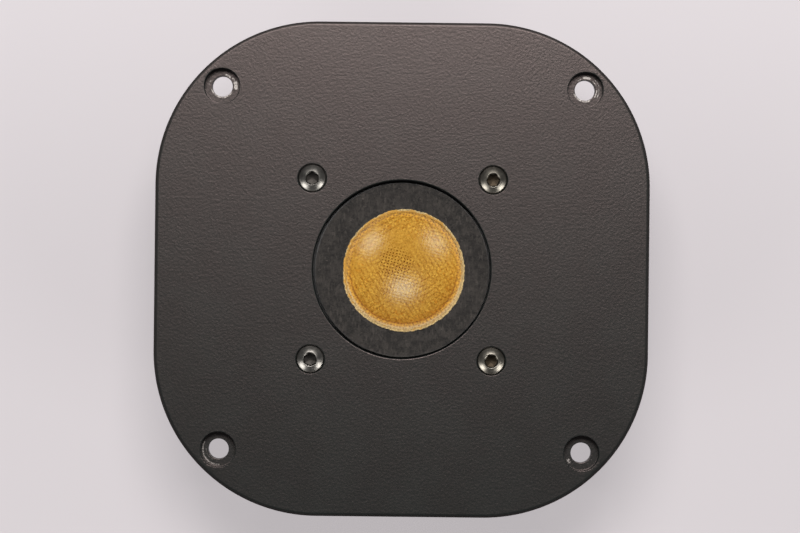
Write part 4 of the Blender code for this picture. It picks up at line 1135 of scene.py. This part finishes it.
class TWEETER_OT_screws(bpy.types.Operator):
    """Build the four button-head screws, each with its socket stopped at its own angle"""

    bl_idname = "tweeter.screws"
    bl_label = "Face screws"

    def execute(self, context):
        s = context.scene.tweeter_screw
        for node, stop in zip(FACE_SCREWS, (4, 30, 38, 56)):
            low, high, middle = node_box(node)
            seat_z, angle = high.z - s.height, math.radians(stop)
            grid = button_screw_grid(s, middle.x, middle.y, seat_z, seat_z - low.z, angle)
            material = plated_screw(f"plated_screw_{node[-1]}", s.metal, 1 if middle.x > 0 else 0)
            piece = node_piece(node, grid, material, "root", sharp=30)
            self.shares(piece.data, s, np.array([middle.x, middle.y, high.z]))
        return {"FINISHED"}

    def shares(self, mesh, s, top):
        """Inside is 1 from just under the socket's mouth, for the painted shade in the socket; rim is 1
        towards -Y and less towards +Y, for the painted light on the head's edge.
        """
        x, y, z = (points_of(mesh) - top).T
        radius = np.hypot(x, y)
        below = np.clip((-z - 0.15 * MM) / (0.2 * MM), 0, 1)
        write_share(mesh, "inside", below * (radius < s.socket / math.sqrt(3) + 0.03 * MM))
        # Painted light: the rim's share is larger towards -Y.
        painted_light_side = np.clip(0.75 - y / s.head, 0.2, 1)
        at_rim = np.clip((radius - s.head + 0.6 * MM) / (0.5 * MM), 0, 1)
        write_share(mesh, "rim", painted_light_side * at_rim)


# ---------------------------------------------------------------- motor, coil and terminals
def ring_section(inner, outer, low, high, outside, inside=0.2 * MM):
    """Closed section of a ring with rounded edges."""
    corners = [(inner, low, inside), (outer, low, outside), (outer, high, outside)]
    return filleted([*corners, (inner, high, inside)])


class TWEETER_OT_motor(bpy.types.Operator):
    """Build the ferrite ring, the plated front and back plates and the vented pole"""

    bl_idname = "tweeter.motor"
    bl_label = "Motor"

    def execute(self, context):
        s = context.scene.tweeter_motor
        zinc = zinc_plate("zinc_plate", s.steel, 0.7)
        # Radius of the bore, rounding of the outer edges, material and slot.
        rings = {
            "top_plate": (10.67 * MM, 0.45 * MM, zinc, "zinc_steel"),
            "back_plate": (6.55 * MM, 0.45 * MM, zinc, "zinc_steel"),
            "magnet": (16 * MM, 0.9 * MM, sintered(s.ferrite), "ferrite"),
        }
        for node, (inner, edge, material, slot) in rings.items():
            low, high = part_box(node)
            grid = turned(ring_section(inner, high.x, low.z, high.z, edge), 240)
            node_piece(node, grid, material, "root", closed=True)
        self.pole(context.scene.tweeter_dome, zinc)
        return {"FINISHED"}

    def pole(self, dome, material):
        """Turned section: spigot through the back plate, shoulder, and a front dished like the dome."""
        low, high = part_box("pole_piece")
        vent, spigot, dish_ball = 4 * MM, 6.5 * MM, 16.75 * MM
        flare, taper, foot, lip = 0.6 * MM, 4 * MM, 0.2 * MM, 0.1 * MM
        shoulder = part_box("back_plate")[1].z + 0.05 * MM
        body = filleted(
            [
                (vent, low.z + taper, 0),
                (vent + flare, low.z, foot),
                (spigot, low.z, foot),
                (spigot, shoulder, 0),
                (high.x, shoulder, 0),
                (high.x, high.z, lip),
                (high.x - 5 * lip, high.z, 0),
            ]
        )[ARC_STEPS:-ARC_STEPS]
        dish = ball_rows(dome, dish_ball, np.linspace(high.x - 4 * lip, vent, 16))
        grid = turned(np.concatenate([[(vent, low.z + 0.7 * MM)], body, dish]), 128)
        node_piece("pole_piece", grid, material, "root", closed=True)


class TWEETER_OT_coil(bpy.types.Operator):
    """Build the voice coil's former and winding, and colour the suspension ring"""

    bl_idname = "tweeter.coil"
    bl_label = "Voice coil"

    def execute(self, context):
        s = context.scene.tweeter_motor
        low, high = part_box("voice_coil")
        layers, outer_edge, inner_edge = 0.3 * MM, 0.05 * MM, 0.02 * MM
        section = ring_section(high.x - layers, high.x, low.z, high.z, outer_edge, inner_edge)
        wire = drawn_wire("enamelled_winding", s.copper, 0.18 * MM)
        node_piece("voice_coil", turned(section, 160), wire, "moving", closed=True)
        self.former(context.scene.tweeter_dome, moulded("amber_film", s.film, 0.35))
        paint_node("suspension_ring", moulded("black_moulding", s.moulding, 0.55))
        return {"FINISHED"}

    def former(self, dome, film):
        """A thin tube whose top edge follows the dome's back, which lies off the tube's axis."""
        low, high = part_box("voice_coil_former")
        outer, wall, glue = high.x, 0.12 * MM, 0.1 * MM
        radius = np.array([outer - wall, outer, outer, outer - wall])[:, None]
        at_top = np.array([False, False, True, True])[:, None]
        angle = around(160)[None]
        x, y = radius * np.cos(angle), radius * np.sin(angle)
        top = ball_height(dome, dome.ball + dome.skin, np.hypot(x - dome.play, y)) - glue
        grid = np.stack([x, y, np.where(at_top, top, low.z)], -1)
        node_piece("voice_coil_former", grid, film, "moving", closed=True)


def paint_node(node, material):
    """Gives a solid-model piece that stays in view its finished material."""
    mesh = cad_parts[node].data
    mesh.materials.clear()
    mesh.materials.append(material)


def merged_copy(node):
    """A copy of a solid-model piece's mesh with its doubles merged and its flat faces whole."""
    shape = bmesh.new()
    shape.from_mesh(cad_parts[node].data)
    bmesh.ops.remove_doubles(shape, verts=shape.verts, dist=1e-6)
    bmesh.ops.dissolve_limit(shape, angle_limit=math.radians(1), verts=shape.verts, edges=shape.edges)
    mesh = bpy.data.meshes.new(f"{node}_finish")
    shape.to_mesh(mesh)
    shape.free()
    return mesh


def softened(node, material, width, sharp=40):
    """A merged copy of a solid-model piece with its edges rounded."""
    piece = finish_piece(merged_copy(node), material, "root", [node], sharp)
    bevel = piece.modifiers.new("round", "BEVEL")
    bevel.width, bevel.segments, bevel.harden_normals = width, 3, True
    bevel.limit_method, bevel.angle_limit = "ANGLE", math.radians(sharp)


class TWEETER_OT_terminals(bpy.types.Operator):
    """Build the terminal board, its tabs, eyelets and screw, and the coil's leads"""

    bl_idname = "tweeter.terminals"
    bl_label = "Terminals"

    def execute(self, context):
        s = context.scene.tweeter_motor
        tin = zinc_plate("tinned_brass", s.tin, 0.2)
        softened("terminal_board", phenolic(s.board), 0.12 * MM)
        braid = drawn_wire("braided_lead", s.copper, 0.2 * MM)
        for side in SIDES:
            softened(f"terminal_tab_{side}", tin, 0.1 * MM)
            self.eyelet(f"terminal_eyelet_{side}", tin)
            self.lead(f"coil_lead_{side}", braid)
        self.board_screw(context.scene.tweeter_screw)
        return {"FINISHED"}

    def eyelet(self, node, material):
        """Turned section of a rolled rivet with rounded flanges."""
        low, high, middle = node_box(node)
        flange, bore, shank, thick = high.x - middle.x, 0.7 * MM, 1.1 * MM, 0.25 * MM
        inside, rolled = 0.15 * MM, 0.11 * MM
        section = filleted(
            [
                (bore, low.z, inside),
                (flange, low.z, rolled),
                (flange, low.z + thick, rolled),
                (shank, low.z + thick, 0),
                (shank, high.z - thick, 0),
                (flange, high.z - thick, rolled),
                (flange, high.z, rolled),
                (bore, high.z, inside),
            ]
        )
        grid = turned(section, 64, (middle.x, middle.y))
        node_piece(node, grid, material, "root", closed=True)

    def lead(self, node, material):
        """The solid lead's route: its inner end follows the coil and the rest stays with the frame."""
        low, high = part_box(node)
        piece = finish_piece(merged_copy(node), material, None, [node], 60)
        coil_end, held = high.y - 0.4 * MM, -ROLL_HIGH.x
        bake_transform(piece, "moving", "root", (low.x, coil_end, low.z), (low.x, held, low.z))

    def board_screw(self, face):
        """The same button head on a smaller scale, upside down."""
        low, high, middle = node_box("board_screw")
        share = (high.x - low.x) / 2 / face.head
        head = face.height * share
        grid = button_screw_grid(face, 0, 0, 0, (high.z - low.z - head) / share, 0)
        grid = grid * (share, -share, -share) + (middle.x, middle.y, low.z + head)
        material = plated_screw("board_screw_metal", face.metal, 0)
        node_piece("board_screw", grid, material, "root", sharp=30)


# ---------------------------------------------------------------- stage
# Azimuth and elevation in degrees, distance and size in metres, power in watts, and colour.
LAMPS = {
    "soft_top": (90, 61, 0.63, (0.36, 0.25), 5.9, (1.0, 0.97, 0.95)),
    "side_left": (221, 21, 0.8, (0.38, 0.34), 5.4, (1.0, 0.985, 0.965)),
    "side_right": (321, 21, 0.8, (0.38, 0.34), 5.4, (1.0, 0.985, 0.965)),
}


def area_lamp(name, azimuth, elevation, distance, size, power, colour):
    """A lamp that looks at the faceplate's centre from an azimuth and elevation in degrees."""
    lamp = bpy.data.lights.new(name, "AREA")
    lamp.shape = "RECTANGLE"
    lamp.size, lamp.size_y = size
    lamp.energy = power
    lamp.color = colour
    a, e = math.radians(azimuth), math.radians(elevation)
    reach, rise = distance * math.cos(e), distance * math.sin(e)
    place = (reach * math.cos(a), reach * math.sin(a), PLATE_HIGH.z + rise)
    return staged(name, lamp, place, (math.pi / 2 - e, 0, a + math.pi / 2))


def staged(name, data, place=(0, 0, 0), turned_by=(0, 0, 0)):
    """An object of the stage, in its place."""
    holder = bpy.data.objects.new(name, data)
    bpy.context.scene.collection.objects.link(holder)
    holder.location = place
    holder.rotation_euler = turned_by
    return holder


class TWEETER_OT_stage(bpy.types.Operator):
    """Set the floor, the lamps and the camera straight over the faceplate"""

    bl_idname = "tweeter.stage"
    bl_label = "Stage"

    def execute(self, context):
        s = context.scene.tweeter_stage
        self.floor(s)
        # The side lamps leave the faceplate out, as it would glare when seen from low down.
        left_out = bpy.data.collections.new("left_out_of_side_light")
        left_out.objects.link(bpy.data.objects["faceplate_finish"])
        left_out.collection_objects[0].light_linking.link_state = "EXCLUDE"
        for name, settings in LAMPS.items():
            lamp = area_lamp(name, *settings)
            if name.startswith("side"):
                lamp.light_linking.receiver_collection = left_out
        world = bpy.data.worlds.new("studio")
        world.use_nodes = True
        sky = world.node_tree.nodes["Background"]
        sky.inputs["Color"].default_value = (0.95, 0.97, 1.0, 1)
        sky.inputs["Strength"].default_value = s.sky
        camera = bpy.data.cameras.new("camera")
        camera.lens, camera.sensor_width, camera.clip_start = s.lens, 36, 0.01
        place = (s.aim_x, s.aim_y, PLATE_HIGH.z + s.camera_height)
        context.scene.world = world
        context.scene.camera = staged("camera", camera, place, (0, 0, s.roll))
        context.scene.view_settings.view_transform = "Standard"
        return {"FINISHED"}

    def floor(self, s, half=3, drop=0.02 * MM):
        """A wide sheet of paper, just under the motor's rear face."""
        mesh = bpy.data.meshes.new("floor")
        corners = [(x, y, -drop) for x, y in ((-half, -half), (half, -half), (half, half), (-half, half))]
        mesh.from_pydata(corners, [], [(0, 1, 2, 3)])
        mesh.materials.append(paper(s.floor, s.floor_glow, s.floor_painted_light))
        staged("floor", mesh)


OPERATORS = (
    TWEETER_OT_faceplate,
    TWEETER_OT_felt,
    TWEETER_OT_dome,
    TWEETER_OT_surround,
    TWEETER_OT_screws,
    TWEETER_OT_motor,
    TWEETER_OT_coil,
    TWEETER_OT_terminals,
    TWEETER_OT_stage,
)


class TWEETER_PT_panel(bpy.types.Panel):
    """Lists the tweeter's pieces in the sidebar, with their settings"""

    bl_idname = "TWEETER_PT_panel"
    bl_label = "Car tweeter"
    bl_space_type = "VIEW_3D"
    bl_region_type = "UI"
    bl_category = "Tweeter"

    def draw(self, context):
        for operator in OPERATORS:
            self.layout.operator(operator.bl_idname)
        for name, group in SETTINGS.items():
            box = self.layout.box()
            box.label(text=name.replace("_", " ").capitalize())
            for key in group.__annotations__:
                box.prop(getattr(context.scene, name), key)


def register():
    for group in SETTINGS.values():
        bpy.utils.register_class(group)
    for operator in OPERATORS:
        bpy.utils.register_class(operator)
    bpy.utils.register_class(TWEETER_PT_panel)
    for name, group in SETTINGS.items():
        setattr(bpy.types.Scene, name, bpy.props.PointerProperty(type=group))


def unregister():
    for name in SETTINGS:
        delattr(bpy.types.Scene, name)
    bpy.utils.unregister_class(TWEETER_PT_panel)
    for operator in reversed(OPERATORS):
        bpy.utils.unregister_class(operator)
    for group in reversed(list(SETTINGS.values())):
        bpy.utils.unregister_class(group)


def main():
    register()
    bpy.ops.tweeter.faceplate()
    bpy.ops.tweeter.felt()
    bpy.ops.tweeter.dome()
    bpy.ops.tweeter.surround()
    bpy.ops.tweeter.screws()
    bpy.ops.tweeter.motor()
    bpy.ops.tweeter.coil()
    bpy.ops.tweeter.terminals()
    bpy.ops.tweeter.stage()


if __name__ == "__main__":
    main()
